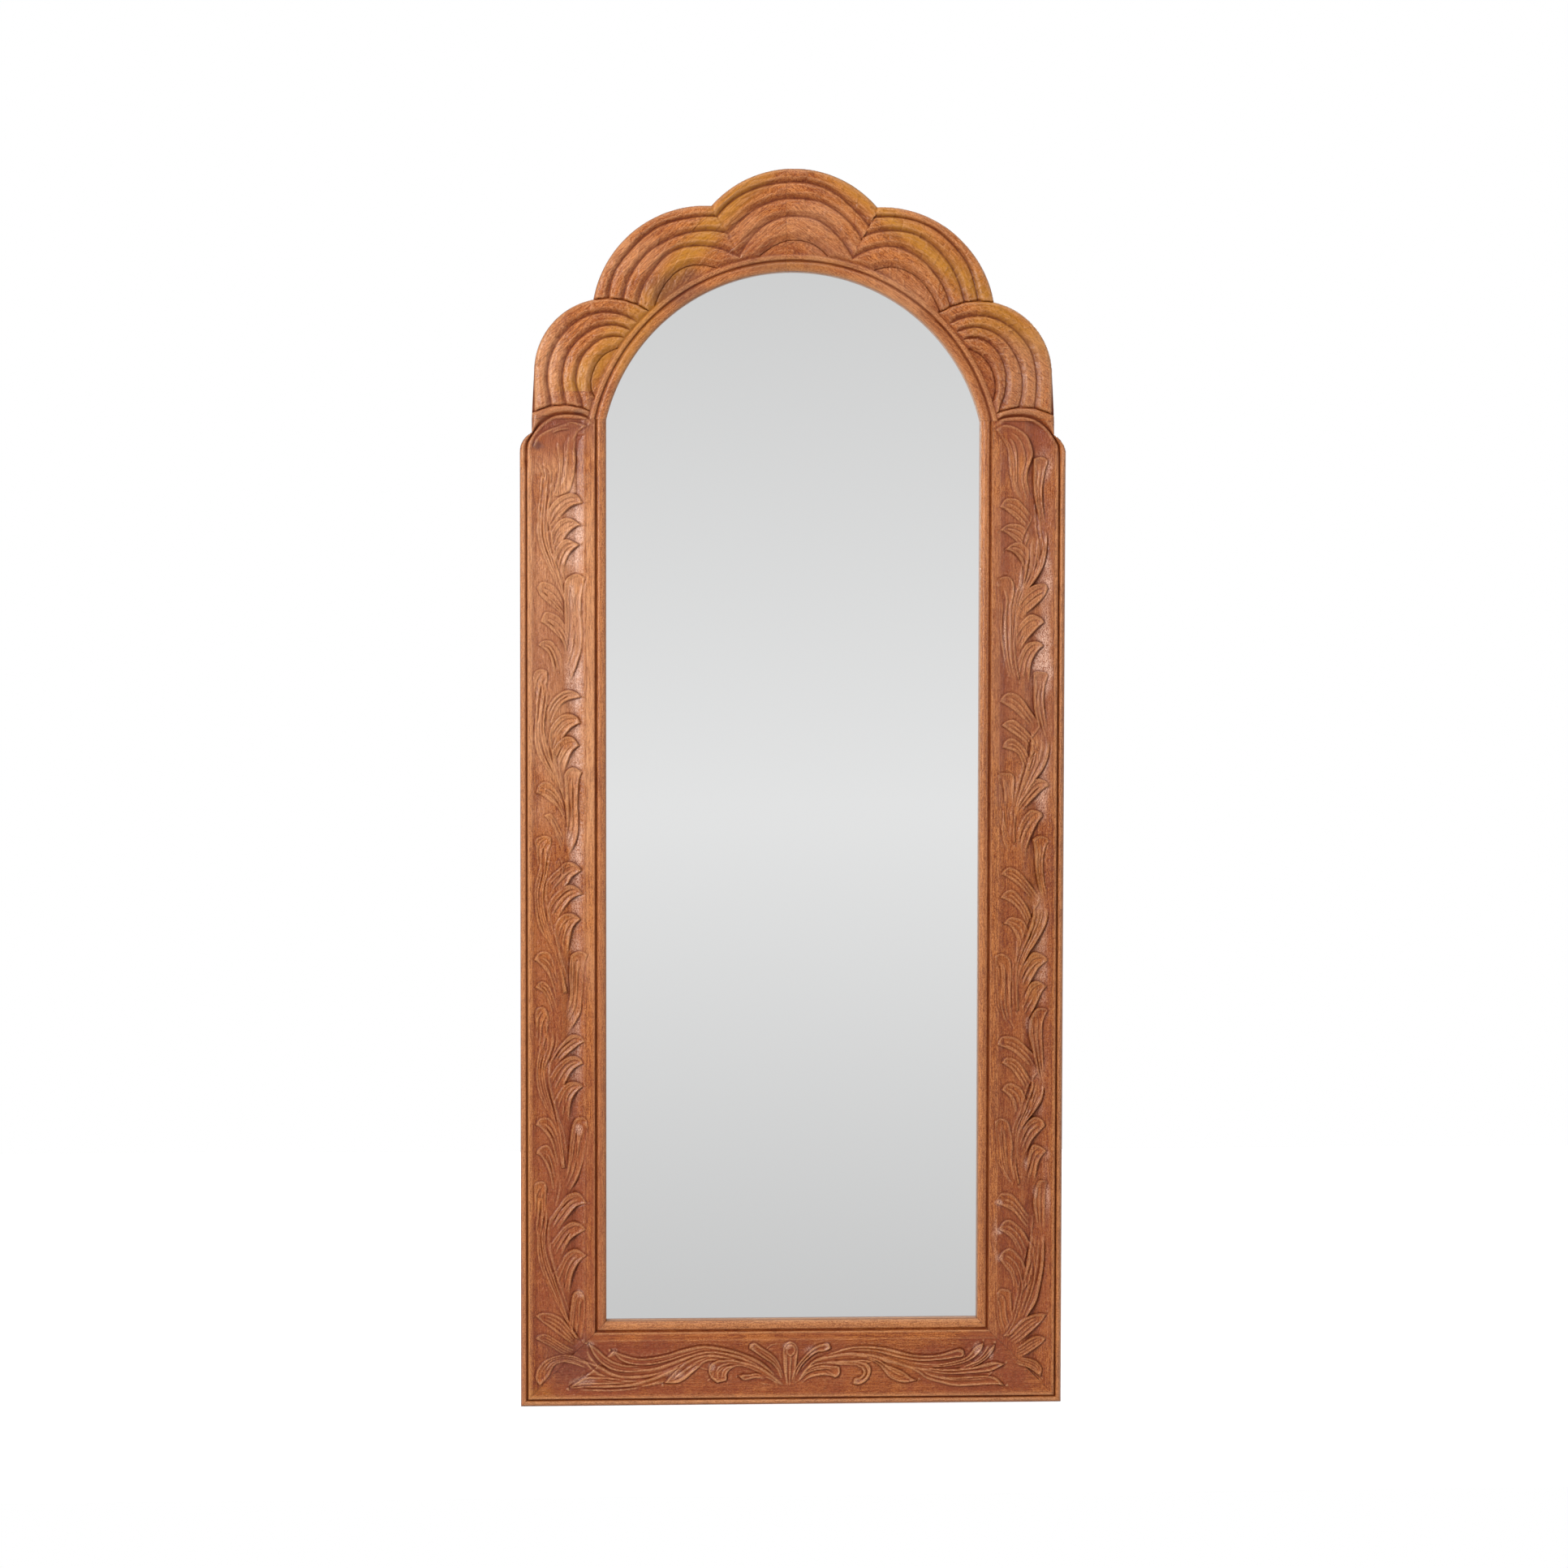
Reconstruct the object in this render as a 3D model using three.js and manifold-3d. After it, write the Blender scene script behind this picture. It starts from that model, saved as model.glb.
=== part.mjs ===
// A full-length floor mirror in carved hardwood. Two stiles and a bottom rail with mitred corners carry a
// scalloped crown; a mirror pane and a screwed back panel sit in rebates behind the opening, and two hangers
// with swinging rings and four rubber bumpers are on the back.
// Millimetres, +Z up, the mirror faces -Y, and the origin is the middle of the footprint on the floor.
import * as THREE from "three";
import { mergeVertices } from "three/addons/utils/BufferGeometryUtils.js";
import Module from "manifold-3d";

const wasm = await Module();
wasm.setup();

// Driving sizes of the frame
const frameWidth = 805;
const frameHeight = 1828;
const stileWidth = 126.5;
const railHeight = 126.5;
const woodDepth = 38;
const archRise = 218;
const crownBand = 150;
const crownInset = 17.5;

// Clearances
const jointGap = 0.3;
const seatGap = 0.3;
const slidingGap = 0.3;
const overrun = 20;
const moonEdge = 1.5;
const finestEdge = 0.02;
const regionLap = 0.5;

// Rebates behind the opening, as margins round the opening's edge
const glassLap = 9;
const glassSlack = 1;
const panelLap = 30;
const panelSlack = 1.5;
const glassThickness = 4;
const panelThickness = 5;
const panelSeatHeight = 16;

// Moulded section of the boards, heights from the back face
const sideHeight = 31;
const beadWidth = 9;
const beadHeight = 36.5;
const quirkWidth = 2;
const quirkHeight = 32;
const borderHeight = 36;
const borderEdge = 1;
const fieldMargin = 17;
const innerBandWidth = 16;
const fieldHeight = 33;
const innerBeadWidth = 13;
const innerBeadHeight = 34.5;
const lipHeight = 30;

// Crown
const crownSeamX = -12;
const centreLobeShare = 0.421;
const middleLobeShares = { radius: 0.436, x: 0.336, drop: 0.579 };
const lowerLobeShares = { radius: 0.2805, x: 0.7104, drop: 0.7766 };
const centreRibs = [21, 26, 27, 28];
const middleRibs = [21, 22, 27, 29];
const lowerRibs = [19, 19, 18, 20];
const crownEdgeHeight = 30;
const ribShoulderHeight = 36.5;
const grooveHeight = 31.5;
const moonHeight = 32;
const ribRiseShare = 0.1;
const ribCrestShare = 0.38;
const ribFallShare = 0.7;
const archBeadWidth = 15;
const archFilletWidth = 10;
const archFilletHeight = 34;
const lobeSegments = 60;
const archSegments = 96;
const archedCurveSteps = 40;
const lobeCurveSteps = 18;

// Collar over each stile, the arched end of the carved field, and the shoulder beside it
const collarRadius = 91;
const collarWidth = 12;
const collarDrop = 70;
const fieldArchRise = 52;
const fieldArchDrop = 60;
const shoulderDrop = 49;
const shoulderRise = 29;

// How far the glue line of the strip outside the left half of the crown runs under the two cusps that it passes
const stripDrops = [23, 12];

// Dowels
const dowelRadius = 4;
const dowelLength = 40;
const dowelHeight = 22;
const dowelSides = 12;
const mitreDowelShares = [0.28, 0.56];
const stileDowelShares = [0.3, 0.6];
const seamDowelShares = [0.37, 0.69];

// Screws
const screwHeadRadius = 3.6;
const screwHeadHeight = 2.2;
const screwHeadRim = 0.9;
const screwRadius = 1.5;
const screwPoint = 3;
const screwSides = 8;
const panelScrewLength = 15;
const panelScrewMargin = 20;
const sideScrewShares = [0.09, 0.35, 0.61, 0.87];
const bottomScrewShares = [-0.6, 0, 0.6];
const archScrewShares = [-0.8, -0.4, 0, 0.4, 0.8];

// Hangers with their rings
const hangerDrop = 130;
const hangerInset = 52;
const strapWidth = 18;
const strapLength = 54;
const strapThickness = 1.5;
const knuckleSides = 16;
const ringWire = 1.75;
const ringPlay = 0.1;
const ringHalfWidth = 18;
const ringDrop = 27;
const ringCorner = 4;
const ringLeg = 8;
const ringSlit = 0.6;
const ringSides = 8;
const ringSteps = 44;
const ringBowSteps = 8;
const hangerScrewLength = 16;
const hangerScrewDrops = [14, 42];

// Bumpers that hold the back off the wall
const bumperRadius = 7;
const bumperHeight = 8;
const bumperCrownShare = 0.7;
const bumperInset = 40;
const bumperTopDrop = 60;
const bumperSides = 16;

// Worked out from the sizes above
const halfWidth = frameWidth / 2;
const openingHalf = halfWidth - stileWidth;
const stileHeight = frameHeight - crownBand - archRise;
const crownHalfWidth = halfWidth - crownInset;
const archRadius = (openingHalf ** 2 + archRise ** 2) / (2 * archRise);
const archCentreZ = stileHeight + archRise - archRadius;
const springDrop = stileHeight - archCentreZ;
const knuckleBore = ringWire + ringPlay;
const overallDepth = woodDepth + bumperHeight;
const backY = overallDepth / 2 - bumperHeight;
const glassBack = panelSeatHeight + seatGap;
const glassFront = glassBack + glassThickness;
const hangerZ = stileHeight - hangerDrop;
const stileMiddle = halfWidth - stileWidth / 2;
const collarZ = stileHeight - collarDrop;
const innerMargin = innerBeadWidth + quirkWidth + innerBandWidth;

/** The depth coordinate of a height measured from the wood's back face. */
const depthAt = (height) => backY - height;

/** A three.js geometry as a solid that can be cut and joined. */
function solid(geometry) {
  const bare = geometry.index ? geometry.toNonIndexed() : geometry.clone();
  bare.deleteAttribute("normal");
  bare.deleteAttribute("uv");
  const merged = mergeVertices(bare);
  const corners = merged.index.array;
  const kept = [];
  for (let i = 0; i < corners.length; i += 3) {
    const [a, b, c] = corners.slice(i, i + 3);
    if (a !== b && b !== c && c !== a) kept.push(a, b, c);
  }
  return new wasm.Manifold(
    new wasm.Mesh({
      numProp: 3,
      vertProperties: merged.attributes.position.array,
      triVerts: new Uint32Array(kept),
    }),
  );
}

/** A solid back as a three.js geometry. */
function geometryOf(body) {
  const mesh = body.getMesh();
  const geometry = new THREE.BufferGeometry();
  geometry.setAttribute("position", new THREE.BufferAttribute(mesh.vertProperties, mesh.numProp));
  geometry.setIndex(new THREE.BufferAttribute(mesh.triVerts, 1));
  const flat = geometry.toNonIndexed();
  flat.computeVertexNormals();
  return flat;
}

/** The biggest of the separate bodies in a solid, without slivers or edges finer than a saw leaves. */
function mainBody(body) {
  const bodies = body.simplify(finestEdge).decompose();
  return bodies.reduce((biggest, other) => (other.volume() > biggest.volume() ? other : biggest));
}

/** A flat outline in X and Z, from one height above the back face to another. */
function plate(shape, fromHeight, toHeight, curveSegments = archedCurveSteps) {
  const geometry = new THREE.ExtrudeGeometry(shape, {
    depth: toHeight - fromHeight,
    bevelEnabled: false,
    curveSegments,
  });
  geometry.rotateX(Math.PI / 2);
  geometry.translate(0, depthAt(fromHeight), 0);
  return solid(geometry);
}

/** An outline from a list of [x, z] corners. */
function polygon(corners) {
  return new THREE.Shape(corners.map(([x, z]) => new THREE.Vector2(x, z)));
}

/** A round bar between two heights above the back face, with its axis through x, z. */
function peg(radius, fromHeight, toHeight, x, z, sides) {
  const geometry = new THREE.CylinderGeometry(radius, radius, toHeight - fromHeight, sides);
  geometry.translate(x, depthAt((fromHeight + toHeight) / 2), z);
  return solid(geometry);
}

/** A cutter turned about the line through x, z: it removes all that stands in front of [radius, height] pairs. */
function turnedCutter(profile, x, z, segments) {
  const [outerRadius] = profile[0];
  const points = [
    new THREE.Vector2(0, depthAt(woodDepth + overrun)),
    new THREE.Vector2(outerRadius, depthAt(woodDepth + overrun)),
    ...profile.map(([radius, height]) => new THREE.Vector2(radius, depthAt(height))),
  ];
  const geometry = new THREE.LatheGeometry(points, segments);
  geometry.translate(x, 0, z);
  return solid(geometry);
}

/** The opening's arched outline, widened by a margin, without or with a foot below the opening. */
function archedShape(margin) {
  const radius = archRadius + margin;
  const half = Math.sqrt(radius ** 2 - springDrop ** 2);
  const spring = Math.asin(springDrop / radius);
  const shape = new THREE.Shape();
  shape.moveTo(-half, railHeight - margin);
  shape.lineTo(half, railHeight - margin);
  shape.lineTo(half, stileHeight);
  shape.absarc(0, archCentreZ, radius, spring, Math.PI - spring, false);
  shape.closePath();
  return shape;
}

/** Where two circles meet, the meeting point with the greater z. */
function upperMeeting(a, b) {
  const dx = b.x - a.x;
  const dz = b.z - a.z;
  const apart = Math.hypot(dx, dz);
  const along = (a.radius ** 2 - b.radius ** 2 + apart ** 2) / (2 * apart);
  const off = Math.sqrt(a.radius ** 2 - along ** 2);
  const foot = { x: a.x + (along * dx) / apart, z: a.z + (along * dz) / apart };
  const one = { x: foot.x - (off * dz) / apart, z: foot.z + (off * dx) / apart };
  const other = { x: foot.x + (off * dz) / apart, z: foot.z - (off * dx) / apart };
  return one.z > other.z ? one : other;
}

/** A lobe of the crown, from its shares of the crown's half width. */
function lobeOf(shares, side, ribs) {
  return {
    x: side * shares.x * crownHalfWidth,
    z: frameHeight - shares.drop * crownHalfWidth,
    radius: shares.radius * crownHalfWidth,
    ribs,
  };
}

// The five lobes of the crown, from left to right
const lobes = [
  lobeOf(lowerLobeShares, -1, lowerRibs),
  lobeOf(middleLobeShares, -1, middleRibs),
  lobeOf({ x: 0, drop: centreLobeShare, radius: centreLobeShare }, 1, centreRibs),
  lobeOf(middleLobeShares, 1, middleRibs),
  lobeOf(lowerLobeShares, 1, lowerRibs),
];
const cusps = lobes.slice(1).map((lobe, i) => upperMeeting(lobes[i], lobe));

/** The section of a stile or rail: across it from the outer edge, and up from the back face. */
function boardSection(width) {
  const fieldEnd = width - innerBeadWidth - quirkWidth;
  const beadRadius = beadWidth / 2;
  const shape = new THREE.Shape();
  shape.moveTo(0, 0);
  shape.lineTo(0, sideHeight);
  shape.quadraticCurveTo(0, beadHeight, beadRadius, beadHeight);
  shape.quadraticCurveTo(beadWidth, beadHeight, beadWidth, quirkHeight);
  shape.lineTo(beadWidth + quirkWidth, quirkHeight);
  shape.lineTo(beadWidth + quirkWidth, borderHeight - borderEdge);
  shape.lineTo(beadWidth + quirkWidth + borderEdge, borderHeight);
  shape.lineTo(fieldEnd - borderEdge, borderHeight);
  shape.lineTo(fieldEnd, borderHeight - borderEdge);
  shape.lineTo(fieldEnd, quirkHeight);
  shape.lineTo(fieldEnd + quirkWidth, quirkHeight);
  const innerStart = fieldEnd + quirkWidth;
  shape.quadraticCurveTo(innerStart, innerBeadHeight, innerStart + innerBeadWidth / 2, innerBeadHeight);
  shape.quadraticCurveTo(width, innerBeadHeight, width, lipHeight);
  shape.lineTo(width, 0);
  shape.closePath();
  return shape;
}

/** A board with the moulded section, run along a length from a corner. */
function board(corner, across, width, length) {
  const geometry = new THREE.ExtrudeGeometry(boardSection(width), {
    depth: length,
    bevelEnabled: false,
    curveSegments: 5,
  });
  const outwards = new THREE.Vector3(0, -1, 0);
  const along = new THREE.Vector3().crossVectors(across, outwards);
  const place = new THREE.Matrix4().makeBasis(across, outwards, along).setPosition(corner);
  geometry.applyMatrix4(place);
  return solid(geometry);
}

/** The outline of the rail between its mitres, its slanted ends moved out by a gap. */
function mitreOutline(gap) {
  const slope = stileWidth / railHeight;
  const sideways = gap * Math.hypot(1, slope);
  const foot = halfWidth + slope * overrun + sideways;
  const top = halfWidth - stileWidth - slope * overrun + sideways;
  return polygon([
    [-foot, -overrun],
    [foot, -overrun],
    [top, railHeight + overrun],
    [-top, railHeight + overrun],
  ]);
}

/** The sunk field of a stile, with its arched top end. */
function stileField(side) {
  const outer = side * (halfWidth - fieldMargin);
  const inner = side * (openingHalf + innerMargin);
  const middle = (outer + inner) / 2;
  const springZ = stileHeight - fieldArchDrop;
  const half = Math.abs(outer - inner) / 2;
  const shape = new THREE.Shape();
  shape.moveTo(outer, -overrun);
  shape.lineTo(inner, -overrun);
  shape.lineTo(inner, springZ);
  shape.absellipse(middle, springZ, half, fieldArchRise, side > 0 ? Math.PI : 0, side > 0 ? 0 : Math.PI, side > 0, 0);
  shape.closePath();
  return plate(shape, fieldHeight, woodDepth + overrun, 16);
}

/** What lies outside the shoulder beside a stile's head. */
function shoulderWaste(side) {
  const edge = side * halfWidth;
  const inner = side * crownHalfWidth;
  const shape = new THREE.Shape();
  const top = stileHeight - shoulderDrop + shoulderRise;
  shape.moveTo(edge + side * overrun, stileHeight - shoulderDrop);
  shape.lineTo(edge, stileHeight - shoulderDrop);
  shape.quadraticCurveTo(edge, top - shoulderRise / 3, inner, top);
  shape.lineTo(inner, stileHeight + overrun);
  shape.lineTo(edge + side * overrun, stileHeight + overrun);
  shape.closePath();
  return plate(shape, -overrun, woodDepth + overrun, 8);
}

/** The crown's outline: scallops above, straight sides and a flat foot. */
function crownOutline() {
  const shape = new THREE.Shape();
  const first = lobes[0];
  const last = lobes[lobes.length - 1];
  const footZ = stileHeight + jointGap;
  shape.moveTo(-crownHalfWidth, footZ);
  shape.lineTo(crownHalfWidth, footZ);
  shape.lineTo(last.x + last.radius, last.z);
  const corners = [{ x: last.x + last.radius, z: last.z }, ...[...cusps].reverse(), { x: first.x - first.radius, z: first.z }];
  [...lobes].reverse().forEach((lobe, i) => {
    const from = Math.atan2(corners[i].z - lobe.z, corners[i].x - lobe.x);
    const to = Math.atan2(corners[i + 1].z - lobe.z, corners[i + 1].x - lobe.x);
    shape.absarc(lobe.x, lobe.z, lobe.radius, from, to < from ? to + 2 * Math.PI : to, false);
  });
  shape.closePath();
  return shape;
}

/** Heights across a lobe, from beyond its edge to its middle: rounded ribs that fall inwards to a groove. */
function ribProfile(lobe) {
  const profile = [
    [lobe.radius + 2 * overrun, crownEdgeHeight],
    [lobe.radius, crownEdgeHeight],
  ];
  let radius = lobe.radius;
  for (const width of lobe.ribs) {
    profile.push(
      [radius - ribRiseShare * width, ribShoulderHeight],
      [radius - ribCrestShare * width, woodDepth],
      [radius - ribFallShare * width, ribShoulderHeight],
      [radius - width, grooveHeight],
    );
    radius -= width;
  }
  profile.push([radius - moonEdge, moonHeight], [0, moonHeight]);
  return profile;
}

/** The part of the crown that a lobe's ribs are cut in, as an outline drawn in by an inset. */
function lobeRegion(index, inset = 0) {
  const lobe = lobes[index];
  const side = Math.sign(lobe.x);
  const inside = { x: 0, z: archCentreZ };
  const beyond = (from, to) => {
    const stretch = 1 + overrun / Math.hypot(to.x - from.x, to.z - from.z);
    return [from.x + (to.x - from.x) * stretch, from.z + (to.z - from.z) * stretch];
  };
  if (side === 0) {
    return polygon([[inside.x, inside.z], beyond(inside, cusps[2]), [0, frameHeight + overrun], beyond(inside, cusps[1])]);
  }
  if (index === 1 || index === 3) {
    const cusp = side < 0 ? cusps[1] : cusps[2];
    const far = lobe.x + side * (lobe.radius + overrun);
    const [outX, outZ] = beyond(inside, cusp);
    const lap = side * regionLap;
    return polygon([
      [inside.x - lap, inside.z],
      [outX - lap, outZ],
      [cusp.x - lap, frameHeight],
      [far, frameHeight],
      [far, stileHeight],
    ]);
  }
  const shape = new THREE.Shape();
  const edge = side * (crownHalfWidth + overrun);
  shape.moveTo(edge, stileHeight);
  shape.lineTo(edge, lobe.z);
  const radius = lobe.radius - inset;
  shape.lineTo(lobe.x + side * radius, lobe.z);
  shape.absarc(lobe.x, lobe.z, radius, side < 0 ? Math.PI : 0, side < 0 ? 0 : Math.PI, side < 0);
  shape.lineTo(lobe.x - side * radius, stileHeight);
  shape.closePath();
  return shape;
}

/** The crown in one piece, before it is sawn into boards. */
function carvedCrown() {
  const outline = plate(crownOutline(), 0, woodDepth, lobeCurveSteps);
  let crown = outline;
  const ringRadius = archRadius + archBeadWidth + archFilletWidth;
  const ring = peg(ringRadius - regionLap, -overrun, woodDepth + overrun, 0, archCentreZ, archSegments);
  const lower = [0, lobes.length - 1].map((i) => plate(lobeRegion(i, regionLap), -overrun, woodDepth + overrun));
  lobes.forEach((lobe, i) => {
    let region = plate(lobeRegion(i), -overrun, woodDepth + overrun);
    if (i === 1 || i === 3) {
      region = region.subtract(i === 1 ? lower[0] : lower[1]);
    }
    const cutter = turnedCutter(ribProfile(lobe), lobe.x, lobe.z, lobeSegments);
    crown = crown.subtract(cutter.intersect(region).subtract(ring));
  });
  for (const side of [-1, 1]) {
    const x = side * stileMiddle;
    const collarProfile = [
      [collarRadius + regionLap, grooveHeight],
      [collarRadius, grooveHeight],
      [collarRadius - ribRiseShare * collarWidth, ribShoulderHeight],
      [collarRadius - ribCrestShare * collarWidth, woodDepth],
      [collarRadius - ribFallShare * collarWidth, ribShoulderHeight],
      [collarRadius - collarWidth, grooveHeight],
      [collarRadius - collarWidth - quirkWidth, borderHeight],
      [0, borderHeight],
    ];
    const disc = peg(collarRadius, -overrun, woodDepth + overrun, x, collarZ, lobeSegments).subtract(ring);
    const hollow = turnedCutter(collarProfile, x, collarZ, lobeSegments).subtract(ring);
    crown = crown.add(disc.intersect(outline)).subtract(hollow);
  }
  const archProfile = [
    [ringRadius, archFilletHeight],
    [archRadius + archBeadWidth + quirkWidth, archFilletHeight],
    [archRadius + archBeadWidth + quirkWidth, quirkHeight],
    [archRadius + archBeadWidth, quirkHeight],
    [archRadius + 0.75 * archBeadWidth, innerBeadHeight],
    [archRadius + 0.3 * archBeadWidth, innerBeadHeight],
    [archRadius, lipHeight],
    [0, lipHeight],
  ];
  crown = crown.subtract(turnedCutter(archProfile, 0, archCentreZ, archSegments));
  return crown.subtract(plate(archedShape(0), -overrun, woodDepth + overrun));
}

/** All that the glass and the back panel need cut away behind the opening. */
function rebates() {
  const glassPocket = plate(archedShape(glassLap + glassSlack), -overrun, glassFront + seatGap);
  const panelPocket = plate(archedShape(panelLap + panelSlack), -overrun, panelSeatHeight);
  return glassPocket.add(panelPocket);
}

/** Everything to the left of a line from one [x, z] place towards another, moved off the line by an offset. */
function besideLine([fromX, fromZ], [toX, toZ], offset) {
  const length = Math.hypot(toX - fromX, toZ - fromZ);
  const along = { x: (toX - fromX) / length, z: (toZ - fromZ) / length };
  const reach = frameHeight;
  const corner = (s, t) => [fromX + along.x * s - along.z * (t + offset), fromZ + along.z * s + along.x * (t + offset)];
  const corners = [corner(-reach, 0), corner(reach, 0), corner(reach, reach), corner(-reach, reach)];
  return plate(polygon(corners), -overrun, woodDepth + overrun);
}

const screwPlaces = [];

/** A pan-head screw: its place is on the seat of its head, and it points towards the front. */
function screwGeometry(length) {
  const points = [
    [0, -length],
    [screwRadius, -(length - screwPoint)],
    [screwRadius, 0],
    [screwHeadRadius, 0],
    [screwHeadRadius, screwHeadRim],
    [screwHeadRadius / 2, screwHeadHeight],
    [0, screwHeadHeight],
  ];
  return new THREE.LatheGeometry(points.map(([r, y]) => new THREE.Vector2(r, y)), screwSides);
}

/** The pilot hole of a screw whose head sits at a height above the back face. */
function pilotHole(screw) {
  const deep = screw.height + screw.length + slidingGap;
  return peg(screwRadius + slidingGap, -bumperHeight, deep, screw.x, screw.z, screwSides);
}

function addScrew(name, x, z, height, length) {
  screwPlaces.push({ name, x, z, height, length });
}

const panelBackHeight = panelSeatHeight - seatGap - panelThickness;
const panelHalf = Math.sqrt((archRadius + panelScrewMargin) ** 2 - springDrop ** 2);
const panelFoot = railHeight - panelScrewMargin;
sideScrewShares.forEach((share, i) => {
  const z = panelFoot + share * (stileHeight - panelFoot);
  addScrew(`panel_screw_left_${i + 1}`, -panelHalf, z, panelBackHeight, panelScrewLength);
  addScrew(`panel_screw_right_${i + 1}`, panelHalf, z, panelBackHeight, panelScrewLength);
});
bottomScrewShares.forEach((share, i) => {
  addScrew(`panel_screw_bottom_${i + 1}`, share * panelHalf, panelFoot, panelBackHeight, panelScrewLength);
});
archScrewShares.forEach((share, i) => {
  const angle = share * Math.atan2(panelHalf, springDrop);
  const reach = archRadius + panelScrewMargin;
  const x = reach * Math.sin(angle);
  const z = archCentreZ + reach * Math.cos(angle);
  addScrew(`panel_screw_arch_${i + 1}`, x, z, panelBackHeight, panelScrewLength);
});
const hangerX = halfWidth - hangerInset;
for (const [sideName, side] of [["left", -1], ["right", 1]]) {
  hangerScrewDrops.forEach((drop, i) => {
    addScrew(`hanger_screw_${sideName}_${i + 1}`, side * hangerX, hangerZ - drop, -strapThickness, hangerScrewLength);
  });
}

/** Dowels, each as its middle and its direction. */
const dowelPlaces = [];
const dowelY = depthAt(dowelHeight);
for (const [sideName, side] of [["left", -1], ["right", 1]]) {
  mitreDowelShares.forEach((share, i) => {
    const middle = new THREE.Vector3(side * (halfWidth - share * stileWidth), dowelY, share * railHeight);
    const direction = new THREE.Vector3(side * railHeight, 0, stileWidth).normalize();
    dowelPlaces.push({ name: `mitre_dowel_${sideName}_${i + 1}`, middle, direction });
  });
  stileDowelShares.forEach((share, i) => {
    const middle = new THREE.Vector3(side * (crownHalfWidth - share * (crownHalfWidth - openingHalf)), dowelY, stileHeight);
    dowelPlaces.push({ name: `crown_dowel_${sideName}_${i + 1}`, middle, direction: new THREE.Vector3(0, 0, 1) });
  });
}
seamDowelShares.forEach((share, i) => {
  const middle = new THREE.Vector3(crownSeamX, dowelY, frameHeight - (1 - share) * crownBand);
  dowelPlaces.push({ name: `seam_dowel_${i + 1}`, middle, direction: new THREE.Vector3(1, 0, 0) });
});

/** A dowel, or the hole for it when it is grown by a gap. */
function dowel(place, gap) {
  const geometry = new THREE.CylinderGeometry(dowelRadius + gap, dowelRadius + gap, dowelLength + 2 * gap, dowelSides);
  const turn = new THREE.Quaternion().setFromUnitVectors(new THREE.Vector3(0, 1, 0), place.direction);
  geometry.applyQuaternion(turn);
  geometry.translate(place.middle.x, place.middle.y, place.middle.z);
  return solid(geometry);
}

/** The flat strap of a hanger, rolled into a knuckle at its head. */
function strapSolid(side) {
  const knuckle = knuckleBore + strapThickness;
  const section = new THREE.Shape();
  section.moveTo(0, -knuckle);
  section.absarc(0, 0, knuckle, -Math.PI / 2, Math.PI, false);
  section.lineTo(-knuckle, -strapLength);
  section.lineTo(-knuckle + strapThickness, -strapLength);
  section.lineTo(-knuckle + strapThickness, -knuckle);
  section.closePath();
  const body = new THREE.ExtrudeGeometry(section, { depth: strapWidth, bevelEnabled: false, curveSegments: knuckleSides });
  body.applyMatrix4(strapFrame(side));
  const bore = new THREE.CylinderGeometry(knuckleBore, knuckleBore, strapWidth + overrun, knuckleSides);
  bore.rotateZ(Math.PI / 2);
  bore.translate(side * hangerX, knuckleY, hangerZ);
  return solid(body).subtract(solid(bore));
}

const knuckleY = backY + knuckleBore + strapThickness;

/** Places a strap's section, which is drawn away from the wall and up, across its width. */
function strapFrame(side) {
  const away = new THREE.Vector3(0, 1, 0);
  const up = new THREE.Vector3(0, 0, 1);
  const across = new THREE.Vector3(1, 0, 0);
  return new THREE.Matrix4().makeBasis(away, up, across).setPosition(side * hangerX - strapWidth / 2, knuckleY, hangerZ);
}

/** The bent wire of a ring: a straight bar in the knuckle, and a round bow below it. */
function ringPath() {
  const bowDrop = ringDrop - ringLeg;
  const half = [
    [ringSlit / 2, 0],
    [strapWidth / 2, 0],
    [ringHalfWidth - ringCorner, 0],
    [ringHalfWidth - ringCorner * (1 - Math.SQRT1_2), -ringCorner * (1 - Math.SQRT1_2)],
    [ringHalfWidth, -ringCorner],
  ];
  for (let i = 0; i < ringBowSteps; i++) {
    const angle = (i / ringBowSteps) * (Math.PI / 2);
    half.push([ringHalfWidth * Math.cos(angle), -ringLeg - bowDrop * Math.sin(angle)]);
  }
  const corners = [...half, [0, -ringDrop], ...half.reverse().map(([x, z]) => [-x, z])];
  return new THREE.CatmullRomCurve3(corners.map(([x, z]) => new THREE.Vector3(x, 0, z)));
}

function ringGeometry() {
  const section = new THREE.Shape();
  section.absarc(0, 0, ringWire, 0, 2 * Math.PI, false);
  return new THREE.ExtrudeGeometry(section, {
    steps: ringSteps,
    curveSegments: ringSides / 2,
    extrudePath: ringPath(),
  });
}

function bumperGeometry() {
  const points = [
    [0, 0],
    [bumperRadius, 0],
    [bumperRadius, bumperHeight / 2],
    [bumperCrownShare * bumperRadius, bumperHeight],
    [0, bumperHeight],
  ];
  return new THREE.LatheGeometry(points.map(([r, y]) => new THREE.Vector2(r, y)), bumperSides);
}

const materials = {
  wood: new THREE.MeshStandardMaterial({ color: 0xb06f49, roughness: 0.55, metalness: 0 }),
  mirror: new THREE.MeshStandardMaterial({ color: 0xe6e8e8, roughness: 0.03, metalness: 1 }),
  panel: new THREE.MeshStandardMaterial({ color: 0x9a7a58, roughness: 0.85, metalness: 0 }),
  dowel: new THREE.MeshStandardMaterial({ color: 0xd2ac7a, roughness: 0.8, metalness: 0 }),
  steel: new THREE.MeshStandardMaterial({ color: 0xb9b6ad, roughness: 0.35, metalness: 1 }),
  rubber: new THREE.MeshStandardMaterial({ color: 0x2a2a2a, roughness: 0.9, metalness: 0 }),
};

const mirror = new THREE.Group();

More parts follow.
